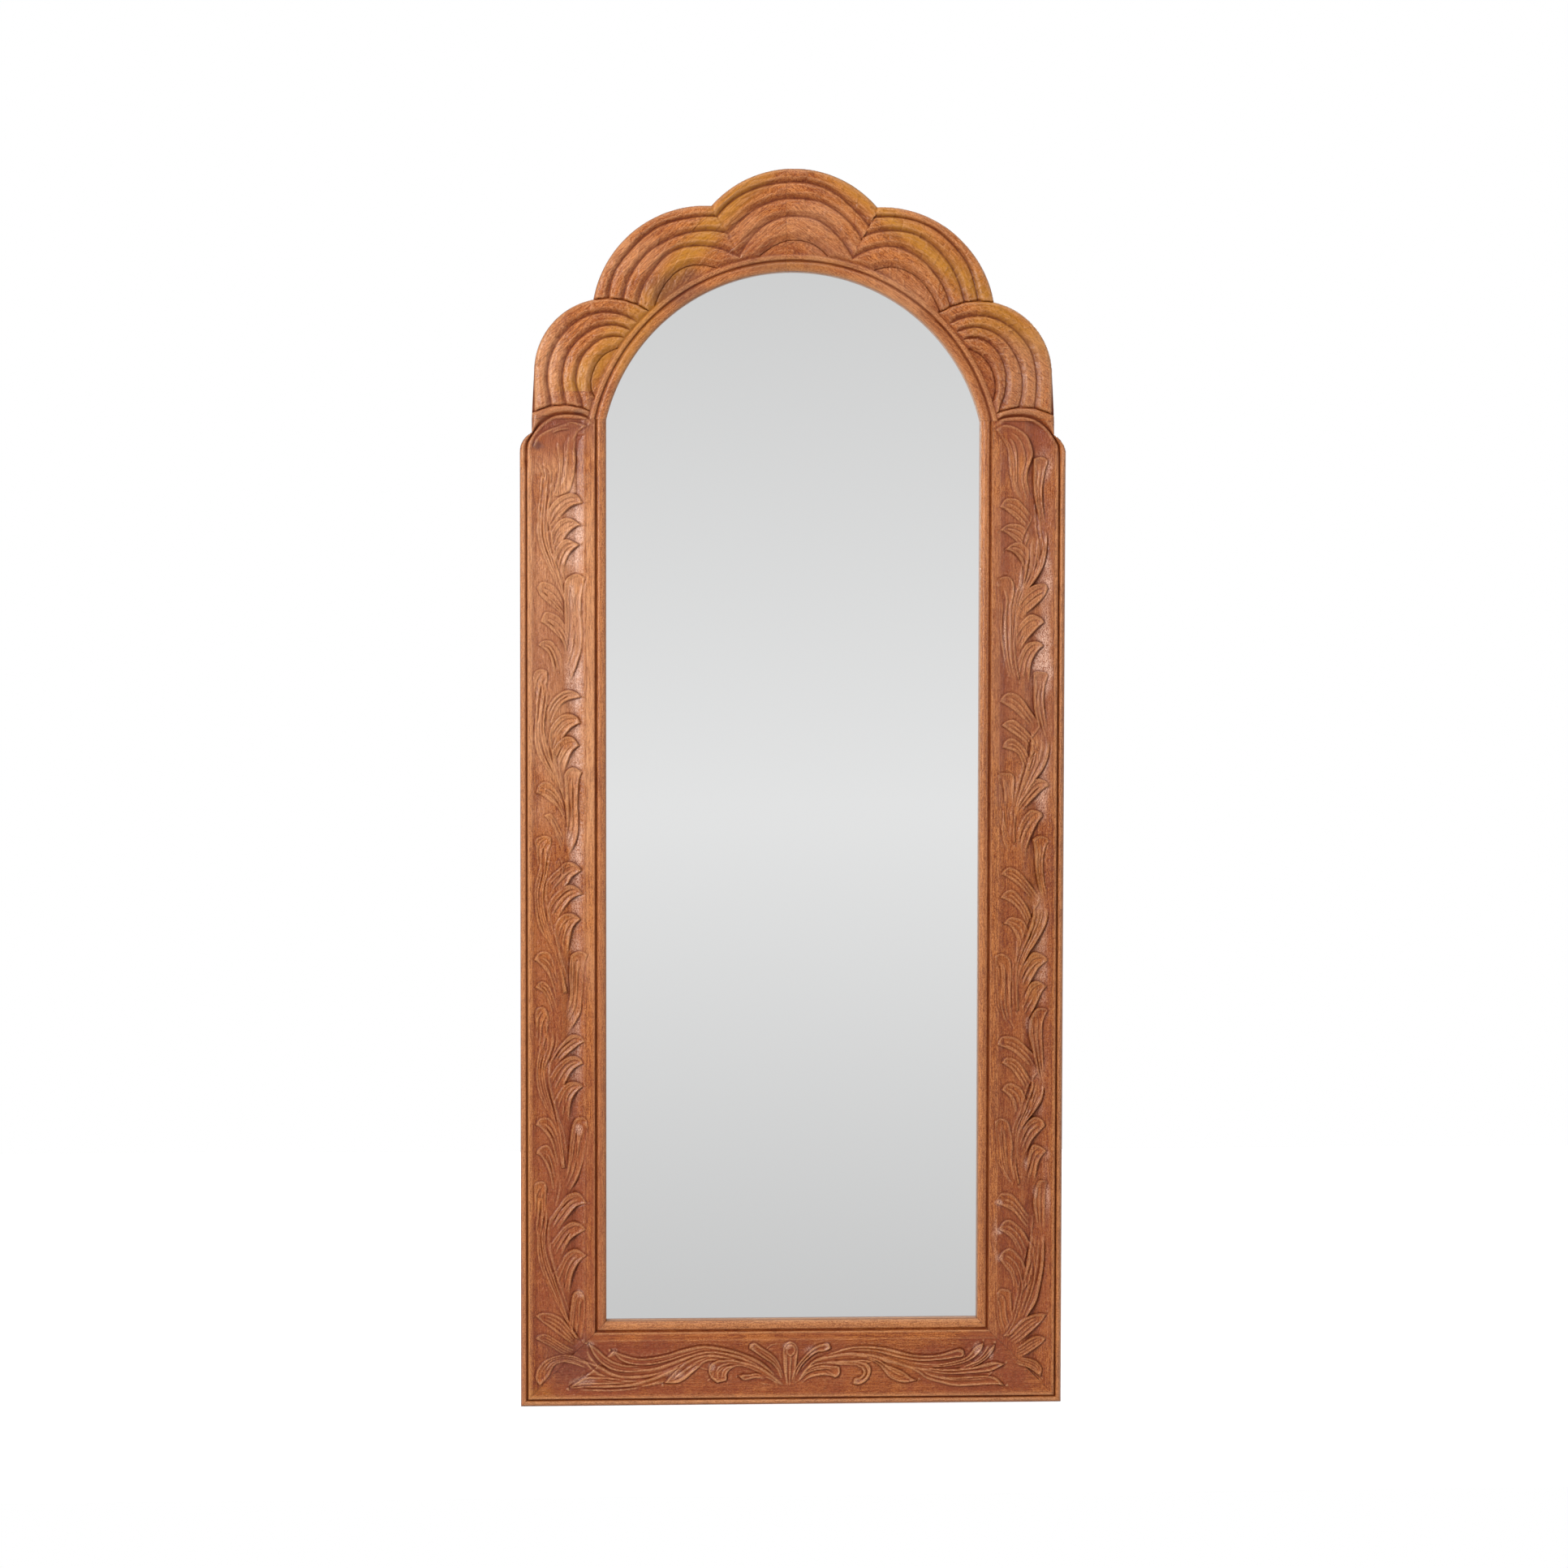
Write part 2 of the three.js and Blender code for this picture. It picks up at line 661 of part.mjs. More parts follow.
function addNode(name, geometry, material, place = new THREE.Vector3()) {
  const mesh = new THREE.Mesh(geometry, material);
  mesh.name = name;
  mesh.position.copy(place);
  mirror.add(mesh);
}

// Holes and rebates that several boards share
const cuts = [rebates(), ...screwPlaces.map(pilotHole), ...dowelPlaces.map((place) => dowel(place, slidingGap))];
const finished = (body) => cuts.reduce((left, cut) => left.subtract(cut), body);
const boardGeometry = (body) => geometryOf(mainBody(body));

const across = { left: new THREE.Vector3(1, 0, 0), right: new THREE.Vector3(-1, 0, 0) };
const fromTop = new THREE.Vector3(-halfWidth, backY, stileHeight);
const fromFoot = new THREE.Vector3(halfWidth, backY, 0);
const stiles = {
  left: board(fromTop, across.left, stileWidth, stileHeight),
  right: board(fromFoot, across.right, stileWidth, stileHeight),
};
const stileMitre = plate(mitreOutline(jointGap), -overrun, woodDepth + overrun);
for (const [sideName, side] of [["left", -1], ["right", 1]]) {
  const shaped = stiles[sideName].subtract(stileMitre).subtract(stileField(side)).subtract(shoulderWaste(side));
  addNode(`${sideName}_stile`, boardGeometry(finished(shaped)), materials.wood);
}

const railField = polygon([
  [-halfWidth, fieldMargin],
  [halfWidth, fieldMargin],
  [halfWidth, railHeight - innerMargin],
  [-halfWidth, railHeight - innerMargin],
]);
const rail = board(new THREE.Vector3(-halfWidth, backY, 0), new THREE.Vector3(0, 0, 1), railHeight, frameWidth)
  .subtract(plate(railField, fieldHeight, woodDepth + overrun))
  .intersect(plate(mitreOutline(0), -overrun, woodDepth + overrun));
addNode("bottom_rail", boardGeometry(finished(rail)), materials.wood);

const crown = finished(carvedCrown());
const seamFoot = [crownSeamX, stileHeight];
const seamTop = [crownSeamX, frameHeight];
const rightOfSeam = besideLine(seamTop, seamFoot, jointGap / 2);
const leftOfSeam = besideLine(seamFoot, seamTop, jointGap / 2);
const stripEnds = stripDrops.map((drop, i) => [cusps[i].x, cusps[i].z - drop]);
const outsideStrip = besideLine(stripEnds[0], stripEnds[1], jointGap / 2);
const insideStrip = besideLine(stripEnds[1], stripEnds[0], jointGap / 2);
const leftHalf = crown.intersect(leftOfSeam);
addNode("crown_left", boardGeometry(leftHalf.intersect(insideStrip)), materials.wood);
addNode("crown_left_strip", boardGeometry(leftHalf.intersect(outsideStrip)), materials.wood);
addNode("crown_right", boardGeometry(crown.intersect(rightOfSeam)), materials.wood);

addNode("mirror_glass", geometryOf(plate(archedShape(glassLap), glassBack, glassFront)), materials.mirror);

const panelFront = panelSeatHeight - seatGap;
const panelBlank = plate(archedShape(panelLap), panelBackHeight, panelFront);
const backPanel = screwPlaces.map(pilotHole).reduce((left, hole) => left.subtract(hole), panelBlank);
addNode("back_panel", geometryOf(backPanel), materials.panel);

for (const screw of screwPlaces) {
  const place = new THREE.Vector3(screw.x, depthAt(screw.height), screw.z);
  addNode(screw.name, screwGeometry(screw.length), materials.steel, place);
}
for (const place of dowelPlaces) {
  addNode(place.name, geometryOf(dowel(place, 0)), materials.dowel);
}
for (const [sideName, side] of [["left", -1], ["right", 1]]) {
  const holes = screwPlaces.filter((screw) => screw.name.startsWith(`hanger_screw_${sideName}`)).map(pilotHole);
  const strap = holes.reduce((left, hole) => left.subtract(hole), strapSolid(side));
  addNode(`hanger_strap_${sideName}`, geometryOf(strap), materials.steel);
  addNode(`hanger_ring_${sideName}`, ringGeometry(), materials.steel, new THREE.Vector3(side * hangerX, knuckleY, hangerZ));
  const bumperX = side * (halfWidth - bumperInset);
  const bumperPlaces = { top: stileHeight - bumperTopDrop, bottom: railHeight / 2 };
  for (const [level, z] of Object.entries(bumperPlaces)) {
    addNode(`bumper_${level}_${sideName}`, bumperGeometry(), materials.rubber, new THREE.Vector3(bumperX, backY, z));
  }
}

export default mirror;
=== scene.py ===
import math

import bmesh
import bpy
import numpy as np
from mathutils import Matrix, Vector


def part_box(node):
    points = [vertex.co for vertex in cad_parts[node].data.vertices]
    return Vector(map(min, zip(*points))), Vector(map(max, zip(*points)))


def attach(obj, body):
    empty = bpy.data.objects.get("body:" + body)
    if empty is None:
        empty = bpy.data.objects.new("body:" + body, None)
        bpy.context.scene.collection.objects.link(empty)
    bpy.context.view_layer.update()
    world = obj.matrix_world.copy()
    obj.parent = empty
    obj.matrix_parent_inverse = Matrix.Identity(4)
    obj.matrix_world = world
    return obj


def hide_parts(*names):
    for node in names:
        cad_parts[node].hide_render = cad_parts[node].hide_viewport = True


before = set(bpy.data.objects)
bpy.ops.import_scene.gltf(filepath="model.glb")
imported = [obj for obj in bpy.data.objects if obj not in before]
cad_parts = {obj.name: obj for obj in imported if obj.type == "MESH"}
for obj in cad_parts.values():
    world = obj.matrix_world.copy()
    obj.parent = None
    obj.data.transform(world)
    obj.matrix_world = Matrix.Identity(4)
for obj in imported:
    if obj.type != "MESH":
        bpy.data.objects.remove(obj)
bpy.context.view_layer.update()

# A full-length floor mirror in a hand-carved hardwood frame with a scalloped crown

# Sizes in millimetres. Heights are measured from the wood's back face towards the front.
size = {
    "halfWidth": 402.5, "stileHeight": 1460.0, "boardWidth": 126.5, "openingHalf": 276.0, "crownHalf": 385.0,
    "archRise": 218.0, "backY": 15.0, "woodDepth": 38.0, "gap": 0.3, "seamX": -12.0,
}
arch = {"radius": (size["openingHalf"] ** 2 + size["archRise"] ** 2) / (2 * size["archRise"])}
arch["z"] = size["stileHeight"] + size["archRise"] - arch["radius"]
arch["drop"] = size["stileHeight"] - arch["z"]


def newObject(name, data):
    obj = bpy.data.objects.new(name, data)
    bpy.context.scene.collection.objects.link(obj)
    return obj


# Camera, as the photograph was taken
aim = {"place": (-0.2638, -5.0, 1.1314), "yaw": 2.873, "pitch": -2.376, "roll": 0.111,
       "lens": 77.59, "sensor": 36}
camera = newObject("camera", bpy.data.cameras.new("camera"))
bpy.context.scene.camera = camera
camera.data.lens, camera.data.sensor_width = aim["lens"], aim["sensor"]
yaw, pitch, roll = (math.radians(aim[key]) for key in ("yaw", "pitch", "roll"))
ahead = Vector((math.sin(yaw) * math.cos(pitch), math.cos(yaw) * math.cos(pitch), math.sin(pitch)))
level = Vector((math.cos(yaw), -math.sin(yaw), 0))
rightward = math.cos(roll) * level + math.sin(roll) * level.cross(ahead)
turn = Matrix((rightward, rightward.cross(ahead), -ahead)).transposed()
camera.matrix_world = Matrix.Translation(aim["place"]) @ turn.to_4x4()
bpy.context.scene.view_settings.view_transform = "Standard"
print("stage: camera", flush=True)


# Smooth curves and distances

# A Catmull-Rom curve through the points, as closely spaced points
def smoothPath(points, spacing=1.2):
    p = np.array(points, float)
    if len(p) < 3:
        return p
    ends = np.vstack([2 * p[0] - p[1], p, 2 * p[-1] - p[-2]])
    out = []
    for i in range(1, len(ends) - 2):
        a, b, c, d = ends[i - 1], ends[i], ends[i + 1], ends[i + 2]
        count = max(2, int(np.linalg.norm(c - b) / spacing / 2.5))
        t = np.linspace(0, 1, count, endpoint=False)[:, None]
        out.append(0.5 * (2 * b + (c - a) * t + (2 * a - 5 * b + 4 * c - d) * t ** 2
                          + (3 * b - a - 3 * c + d) * t ** 3))
    return np.vstack([*out, p[-1:]])


# Distance from each grid point to a path, the side it is on (left of travel is +1), and how far along
def distanceTo(path, x, z):
    best = np.full(x.shape, 1e9)
    side = np.ones(x.shape)
    along = np.zeros(x.shape)
    lengths = np.linalg.norm(np.diff(path, axis=0), axis=1)
    total = max(lengths.sum(), 1e-9)
    start = 0.0
    for (ax, az), (bx, bz), length in zip(path[:-1], path[1:], lengths):
        dx, dz = bx - ax, bz - az
        t = np.clip(((x - ax) * dx + (z - az) * dz) / max(length ** 2, 1e-12), 0, 1)
        ox, oz = x - ax - t * dx, z - az - t * dz
        d = np.hypot(ox, oz)
        nearer = d < best
        best = np.where(nearer, d, best)
        side = np.where(nearer, np.sign(dx * oz - dz * ox + 1e-12), side)
        along = np.where(nearer, (start + t * length) / total, along)
        start += length
    return best, side, along


# Whether each grid point is inside a closed polygon
def insideOf(polygon, x, z):
    result = np.zeros(x.shape, bool)
    for (ax, az), (bx, bz) in zip(polygon, np.roll(polygon, -1, axis=0)):
        if az == bz:
            continue
        crosses = (az > z) != (bz > z)
        result ^= crosses & (x < (bx - ax) * (z - az) / (bz - az) + ax)
    return result


# 0 up to low, 1 from high on, and smooth between them
def step(value, low, high):
    t = np.clip((value - low) / max(high - low, 1e-6), 0, 1)
    return t * t * (3 - 2 * t)


# A height that falls off smoothly with distance on both sides
def bell(distance, height, width=1.8):
    return height * np.exp(-(distance / width) ** 2)


rng = np.random.default_rng(11)


# Smooth noise in the range -1 to 1, the same on every run
def noiseField(x, z, scale, seed):
    u, v = x / scale, z / scale
    iu, iv = np.floor(u).astype(int), np.floor(v).astype(int)
    fu, fv = u - iu, v - iv
    fu, fv = fu * fu * (3 - 2 * fu), fv * fv * (3 - 2 * fv)

    def corner(a, b):
        n = (a * 374761393 + b * 668265263 + seed * 974634777) & 0x7FFFFFFF
        n = ((n ^ (n >> 13)) * 1274126177) & 0x7FFFFFFF
        return ((n ^ (n >> 16)) & 0xFFFF) / 32767.5 - 1

    low = corner(iu, iv) * (1 - fu) + corner(iu + 1, iv) * fu
    high = corner(iu, iv + 1) * (1 - fu) + corner(iu + 1, iv + 1) * fu
    return low * (1 - fv) + high * fv


# What each leaf's tip and lines have, in millimetres: the bulb's distance from the tip and its squared spread
leafTip = {"bulbBack": 4.5, "bulbSpread": 22}
leafLine = {"width": 1.05, "depth": .8, "lift": .8, "taper": .2}


# A carved surface: heights on a grid of x and z, which each tool changes near its own path
class Relief:
    def __init__(self, xs, zs):
        self.xs, self.zs = np.asarray(xs, float), np.asarray(zs, float)
        self.x, self.z = np.meshgrid(self.xs, self.zs)
        self.h = np.zeros(self.x.shape)
        self.polish = np.ones(self.x.shape)
        self.shade = np.zeros(self.x.shape)

    def window(self, points, margin):
        low, high = points.min(axis=0) - margin, points.max(axis=0) + margin
        i0, i1 = np.searchsorted(self.xs, [low[0], high[0]])
        k0, k1 = np.searchsorted(self.zs, [low[1], high[1]])
        return (slice(k0, k1), slice(i0, i1)) if i1 > i0 and k1 > k0 else None

    # A leaf between two edges that meet at its tip: a low bed, a rim round it, and lines along it
    def leaf(self, outer, inner, high, rise, cut, width=6.0, veins=(.36, .66), fade=.4, curl=1.5):
        a, b = smoothPath(outer), smoothPath(inner)
        if np.hypot(*(a[0] - b[0])) < np.hypot(*(a[-1] - b[-1])):
            a, b = a[::-1], b[::-1]
        if turning(np.vstack([a, b[::-1]])) < 0:
            a, b = b, a
        rim = np.vstack([a, b[::-1]])
        win = self.window(rim, 5)
        if win is None:
            return
        x, z = self.x[win], self.z[win]
        (da, _, along), (db, _, alongB) = distanceTo(a, x, z), distanceTo(b, x, z)
        along = (along * db + alongB * da) / np.maximum(da + db, 1e-6)
        edge = np.minimum(da, db)
        mask = step(np.where(insideOf(rim, x, z), edge, -edge), -.4, 1.3) * step(along, .02, fade)
        self.h[win] = self.h[win] * (1 - mask) + high * mask
        self.polish[win] = self.polish[win] * (1 - mask) + .9 * mask
        self.ridge(rim, width, rise, cut, ends=(fade * .6, fade * .6))
        # the tip curls forward in a small bulb
        near = (evenly(a, 8)[-2] + evenly(b, 8)[-2]) / 2
        bulb = a[-1] + (near - a[-1]) * min(1, leafTip["bulbBack"] / max(np.hypot(*(near - a[-1])), .1))
        apart = (x - bulb[0]) ** 2 + (z - bulb[1]) ** 2
        self.h[win] += curl * np.exp(-(apart / leafTip["bulbSpread"])) * mask
        for share in veins:
            self.groove(evenly(a, 8)[:-1] * (1 - share) + evenly(b, 8)[:-1] * share, **leafLine)

    # A raised edge along a path: a thin cut on the path, the crest just left of it, and a gentle slope beyond
    def ridge(self, points, width, rise, cut, ends=(0.12, 0.12)):
        path = points if isinstance(points, np.ndarray) else smoothPath(points)
        win = self.window(path, width + 3)
        if win is None:
            return
        d, side, along = distanceTo(path, self.x[win], self.z[win])
        shape = np.interp(d * side, [-2.4, -1.1, -.2, .7, 1.8, width * .5, width],
                          [0, -.4 * cut, -cut, .1 * rise, rise, .5 * rise, 0])
        self.h[win] += shape * step(along, -.001, ends[0]) * step(1 - along, -.001, ends[1])

    # A gouge cut along a path that runs out at both ends, with a raised lip beside it
    def groove(self, points, width, depth, lift, taper=0.25):
        path = smoothPath(points)
        win = self.window(path, 4 * width + 4)
        if win is None:
            return
        d, side, along = distanceTo(path, self.x[win], self.z[win])
        ends = step(along, 0, taper) * step(1 - along, 0, taper)
        self.h[win] += ends * (bell(d - 2 * width, lift, 1.2 * width) * (side > 0) - bell(d, depth, width))


# Whether a closed outline turns left (+) or right (-)
def turning(points):
    following = np.roll(points, -1, axis=0)
    return np.sum(points[:, 0] * following[:, 1] - following[:, 0] * points[:, 1])


# Points at equal distances along a path
def evenly(path, count):
    lengths = np.concatenate([[0], np.cumsum(np.linalg.norm(np.diff(path, axis=0), axis=1))])
    places = np.linspace(0, lengths[-1], count)
    return np.stack([np.interp(places, lengths, path[:, 0]), np.interp(places, lengths, path[:, 1])], -1)


# The moulded section of a board: distance from its outer edge, and height
section = np.array([
    (0, 29.0), (.6, 31.0), (1.5, 32.8), (2.7, 34.3), (4.1, 35.5), (5.4, 36.0), (6.6, 35.8), (7.6, 34.9),
    (8.4, 33.4), (9.0, 31.8), (9.5, 31.1), (10.0, 31.3), (10.8, 33.4), (11.6, 35.4), (12.4, 36.3),
    (13.4, 36.5), (17.0, 36.0), (92.5, 36.0), (97.0, 36.3), (108.6, 36.3), (109.4, 35.9), (110.0, 34.0),
    (110.8, 31.8), (111.8, 31.2), (112.6, 31.8), (113.4, 33.2), (114.8, 34.4), (117.0, 35.0), (119.4, 35.0),
    (121.6, 34.3), (123.8, 32.8), (125.4, 31.0), (126.5, 29.4),
])
fieldEdges = (17.0, 97.0)
# The ground that the leaves stand on, by distance from the board's outer edge, and its height
grounds = {
    "left": np.array([(17, 36.0), (18.5, 35.3), (20.5, 34.4), (24, 34.0), (30, 34.4), (38, 34.8), (56, 34.8),
                      (63, 34.0), (70, 32.4), (76, 31.2), (80, 30.8), (94, 36.0), (97, 36.1)]),
    "right": np.array([(17, 36.0), (19, 35.9), (21, 35.6), (40, 31.6), (48, 31.2), (54, 32.4), (60, 34.0),
                       (80, 34.2), (90, 34.4), (95, 35.6), (97, 36.1)]),
    "rail": np.array([(17, 36.0), (19, 35.4), (22, 34.6), (28, 34.2), (86, 34.2), (92, 35.2), (97, 36.0)]),
}


# The height that a section, a list of places and heights, has at some places
def heightAt(profile, places):
    return np.interp(places, profile[:, 0], profile[:, 1])


# The ground at a distance u from the board's edge, with tool marks: shallow scoops and fine facets
def groundHeight(ground, u, x, z):
    low, high = fieldEdges
    marks = .16 * noiseField(x, z, 6.0, 5) + .14 * noiseField(x, z, 2.6, 9)
    return heightAt(ground, u) + marks * step(u, low, low + 3) * step(high - u, 0, 4)


# The leaves of each stile: stems, head leaf, long, outer and curled leaves and tongues as two edges each that
# meet at the tip, then raised edges and fine lines
leftLeaves = {
    "stems": [
        ([(-366, 1398), (-372, 1372), (-374, 1345), (-377, 1318), (-374, 1274), (-341, 1200), (-333, 1172),
          (-330, 1145)],
         [(-352, 1400), (-356, 1375), (-356, 1345), (-360, 1318), (-360, 1290), (-354, 1262), (-344, 1236),
          (-331, 1180), (-327, 1150)]),
        ([(-380, 1066), (-379, 1040), (-382, 994), (-379, 974), (-372, 958), (-343, 912), (-336, 888),
          (-333, 862)],
         [(-358, 1066), (-366, 1012), (-362, 986), (-356, 962), (-348, 940), (-335, 896), (-330, 862)]),
        ([(-375, 826), (-374, 806), (-382, 768), (-379, 726), (-372, 706), (-362, 690), (-352, 670),
          (-345, 648), (-340, 616)],
         [(-356, 826), (-360, 800), (-366, 776), (-368, 750), (-362, 722), (-339, 644), (-333, 616)]),
        ([(-376, 572), (-373, 552), (-379, 512), (-380, 492), (-377, 470), (-371, 454), (-353, 414),
          (-342, 356)],
         [(-354, 566), (-352, 544), (-358, 522), (-366, 502), (-364, 480), (-350, 430), (-342, 404),
          (-336, 356)]),
        ([(-382, 300), (-379, 250), (-378, 226), (-373, 206), (-356, 166), (-324, 104)],
         [(-362, 306), (-362, 280), (-366, 250), (-362, 222), (-345, 172), (-328, 122), (-314, 98)]),
    ],
    "head": [
        ([(-384, 1392), (-385, 1412), (-378, 1432), (-362, 1444), (-333, 1455), (-318, 1455), (-303, 1450)],
         [(-378, 1352), (-356, 1346), (-332, 1352), (-324, 1369), (-320, 1399), (-322, 1425), (-318, 1437),
          (-312, 1444), (-303, 1450)]),
    ],
    "edges": [
        [(-381, 1399), (-375, 1390), (-368, 1369), (-370, 1336), (-374, 1318)],
        [(-367, 1392), (-360, 1381), (-359, 1351), (-361, 1334)],
        [(-346, 1430), (-349, 1420), (-346, 1396), (-347, 1378), (-355, 1346)],
        [(-329, 1438), (-334, 1424), (-337, 1380), (-343, 1361)], [(-313, 1446), (-322, 1432), (-326, 1410)],
    ],
    "longLeaves": [
        ([(-384, 1060), (-385, 1074), (-382, 1088), (-376, 1093), (-369, 1094), (-362, 1091)],
         [(-372, 1010), (-364, 1062), (-361, 1080), (-362, 1091)]),
        ([(-377, 812), (-380, 828), (-381, 841), (-374, 847), (-366, 849), (-357, 846)],
         [(-367, 782), (-361, 822), (-356, 836), (-357, 846)]),
        ([(-378, 552), (-381, 587), (-372, 596), (-366, 594), (-362, 587)],
         [(-372, 520), (-366, 540), (-360, 574), (-362, 587)]),
        ([(-382, 290), (-383, 312), (-383, 329), (-379, 335), (-372, 337), (-366, 335), (-363, 328)],
         [(-376, 240), (-370, 268), (-366, 292), (-363, 328)]),
    ],
    "outerLeaves": [
        ([(-378, 1213), (-370, 1222), (-350, 1214), (-336, 1186)],
         [(-378, 1213), (-370, 1198), (-340, 1172), (-334, 1160)]),
        ([(-373, 1163), (-368, 1175), (-362, 1178), (-350, 1174), (-342, 1168), (-332, 1152), (-328, 1136)],
         [(-373, 1163), (-362, 1156), (-343, 1137), (-337, 1124), (-333, 1106)]),
        ([(-376, 1129), (-370, 1135), (-358, 1136), (-350, 1129), (-343, 1117), (-338, 1098)],
         [(-376, 1129), (-366, 1121), (-359, 1112), (-353, 1080)]),
        ([(-380, 911), (-376, 922), (-368, 928), (-358, 926), (-350, 917), (-342, 903), (-337, 888)],
         [(-380, 911), (-370, 907), (-350, 891), (-342, 880), (-335, 862)]),
        ([(-367, 879), (-360, 882), (-353, 877), (-340, 850), (-336, 834)],
         [(-367, 877), (-358, 866), (-346, 838), (-342, 822)]),
        ([(-383, 665), (-378, 673), (-370, 678), (-362, 677), (-355, 668), (-345, 636)],
         [(-383, 665), (-374, 658), (-360, 638), (-350, 604)]),
        ([(-381, 624), (-377, 630), (-370, 634), (-363, 630), (-356, 620), (-346, 588)],
         [(-381, 624), (-373, 619), (-366, 612), (-356, 585)]),
        ([(-381, 420), (-376, 428), (-368, 432), (-359, 430), (-352, 420), (-346, 404), (-342, 386)],
         [(-381, 420), (-372, 414), (-357, 392), (-348, 352)]),
        ([(-380, 377), (-378, 383), (-371, 389), (-363, 391), (-357, 385), (-351, 370), (-347, 350)],
         [(-380, 377), (-372, 372), (-361, 348), (-354, 312)]),
    ],
    "tongues": [
        ([(-336, 1130), (-338, 1190), (-338, 1215), (-334, 1227), (-320, 1234), (-306, 1228)],
         [(-336, 1068), (-326, 1080), (-312, 1120), (-310, 1150), (-312, 1190), (-306, 1228)]),
        ([(-334, 850), (-338, 925), (-337, 940), (-330, 948), (-322, 949), (-311, 943)],
         [(-336, 812), (-327, 825), (-317, 852), (-317, 902), (-315, 930), (-311, 943)]),
        ([(-336, 590), (-330, 612), (-331, 640), (-330, 662), (-328, 672), (-320, 677), (-312, 678),
          (-302, 673)], [(-334, 552), (-315, 582), (-311, 604), (-307, 655), (-302, 673)]),
        ([(-338, 340), (-333, 362), (-328, 412), (-321, 430), (-307, 431), (-303, 424)],
         [(-334, 314), (-318, 340), (-308, 372), (-302, 408), (-303, 424)]),
        ([(-330, 108), (-331, 130), (-329, 150), (-326, 167), (-319, 173), (-312, 172), (-307, 165)],
         [(-316, 96), (-309, 112), (-306, 148), (-307, 165)]),
    ],
    "curls": [
        ([(-362, 1318), (-357, 1334), (-345, 1346), (-330, 1352), (-318, 1349), (-309, 1337)],
         [(-352, 1300), (-345, 1313), (-328, 1331), (-309, 1337)]),
        ([(-358, 1288), (-353, 1302), (-345, 1312), (-335, 1316), (-325, 1314), (-311, 1304)],
         [(-346, 1268), (-342, 1277), (-330, 1294), (-320, 1302), (-311, 1304)]),
        ([(-354, 1256), (-350, 1270), (-345, 1278), (-338, 1284), (-330, 1284), (-314, 1276)],
         [(-339, 1228), (-338, 1238), (-333, 1256), (-325, 1268), (-314, 1276)]),
        ([(-364, 1028), (-358, 1044), (-348, 1056), (-335, 1063), (-325, 1062), (-317, 1058), (-312, 1052)],
         [(-354, 1020), (-348, 1032), (-340, 1042), (-330, 1048), (-312, 1052)]),
        ([(-360, 1000), (-355, 1012), (-345, 1024), (-335, 1028), (-325, 1027), (-317, 1022), (-313, 1014)],
         [(-348, 980), (-330, 1004), (-322, 1010), (-313, 1014)]),
        ([(-356, 970), (-350, 982), (-345, 988), (-338, 994), (-330, 995), (-322, 991), (-315, 981)],
         [(-339, 936), (-329, 966), (-323, 975), (-315, 981)]),
        ([(-366, 776), (-357, 790), (-345, 801), (-338, 808), (-330, 810), (-320, 806), (-311, 797)],
         [(-352, 758), (-331, 778), (-327, 786), (-311, 797)]),
        ([(-362, 745), (-354, 760), (-345, 768), (-335, 775), (-327, 776), (-318, 772), (-309, 762)],
         [(-352, 716), (-345, 729), (-330, 751), (-320, 758), (-309, 762)]),
        ([(-353, 708), (-350, 720), (-345, 728), (-338, 733), (-328, 734), (-320, 731), (-313, 725)],
         [(-333, 665), (-327, 705), (-322, 716), (-313, 725)]),
        ([(-360, 512), (-354, 524), (-345, 538), (-328, 554), (-312, 551), (-306, 543)],
         [(-350, 502), (-345, 513), (-336, 522), (-315, 539), (-306, 543)]),
        ([(-362, 484), (-358, 494), (-350, 507), (-340, 517), (-330, 522), (-320, 522), (-312, 517),
          (-309, 511)], [(-346, 462), (-328, 497), (-320, 505), (-309, 511)]),
        ([(-354, 450), (-350, 462), (-345, 471), (-338, 480), (-330, 484), (-320, 484), (-313, 481),
          (-309, 477)], [(-331, 420), (-328, 450), (-325, 460), (-318, 470), (-309, 477)]),
        ([(-362, 276), (-355, 288), (-345, 302), (-338, 312), (-330, 318), (-320, 320), (-312, 316),
          (-304, 303)], [(-352, 256), (-325, 293), (-315, 300), (-304, 303)]),
        ([(-361, 236), (-355, 248), (-348, 258), (-340, 268), (-330, 275), (-322, 276), (-312, 272),
          (-305, 264)], [(-345, 218), (-333, 242), (-325, 252), (-305, 264)]),
        ([(-355, 192), (-350, 204), (-343, 216), (-338, 226), (-328, 234), (-318, 235), (-304, 226)],
         [(-331, 162), (-327, 190), (-322, 205), (-315, 216), (-304, 226)]),
    ],
    "veins": [
        [(-370, 1330), (-370, 1302), (-366, 1275), (-356, 1248)], [(-372, 1212), (-356, 1193), (-338, 1172)],
        [(-368, 1168), (-350, 1152), (-338, 1128)], [(-362, 1127), (-354, 1112), (-348, 1092)],
        [(-376, 1088), (-372, 1064), (-375, 1034), (-376, 1004)],
        [(-368, 1084), (-366, 1058), (-370, 1022), (-370, 990)],
        [(-333, 1226), (-326, 1198), (-322, 1160), (-324, 1110)],
        [(-372, 1000), (-368, 974), (-358, 950), (-346, 928)], [(-329, 944), (-329, 900), (-328, 860)],
        [(-323, 942), (-325, 918), (-325, 872)], [(-373, 921), (-362, 913), (-352, 905), (-343, 892)],
        [(-362, 877), (-355, 863), (-347, 845)],
        [(-370, 842), (-368, 822), (-368, 798), (-372, 778), (-374, 752)],
        [(-377, 745), (-372, 718), (-362, 698)], [(-318, 670), (-321, 650), (-321, 606)],
        [(-327, 670), (-327, 640), (-327, 600)], [(-374, 669), (-364, 660), (-356, 649), (-349, 634)],
        [(-374, 627), (-366, 618), (-360, 604)],
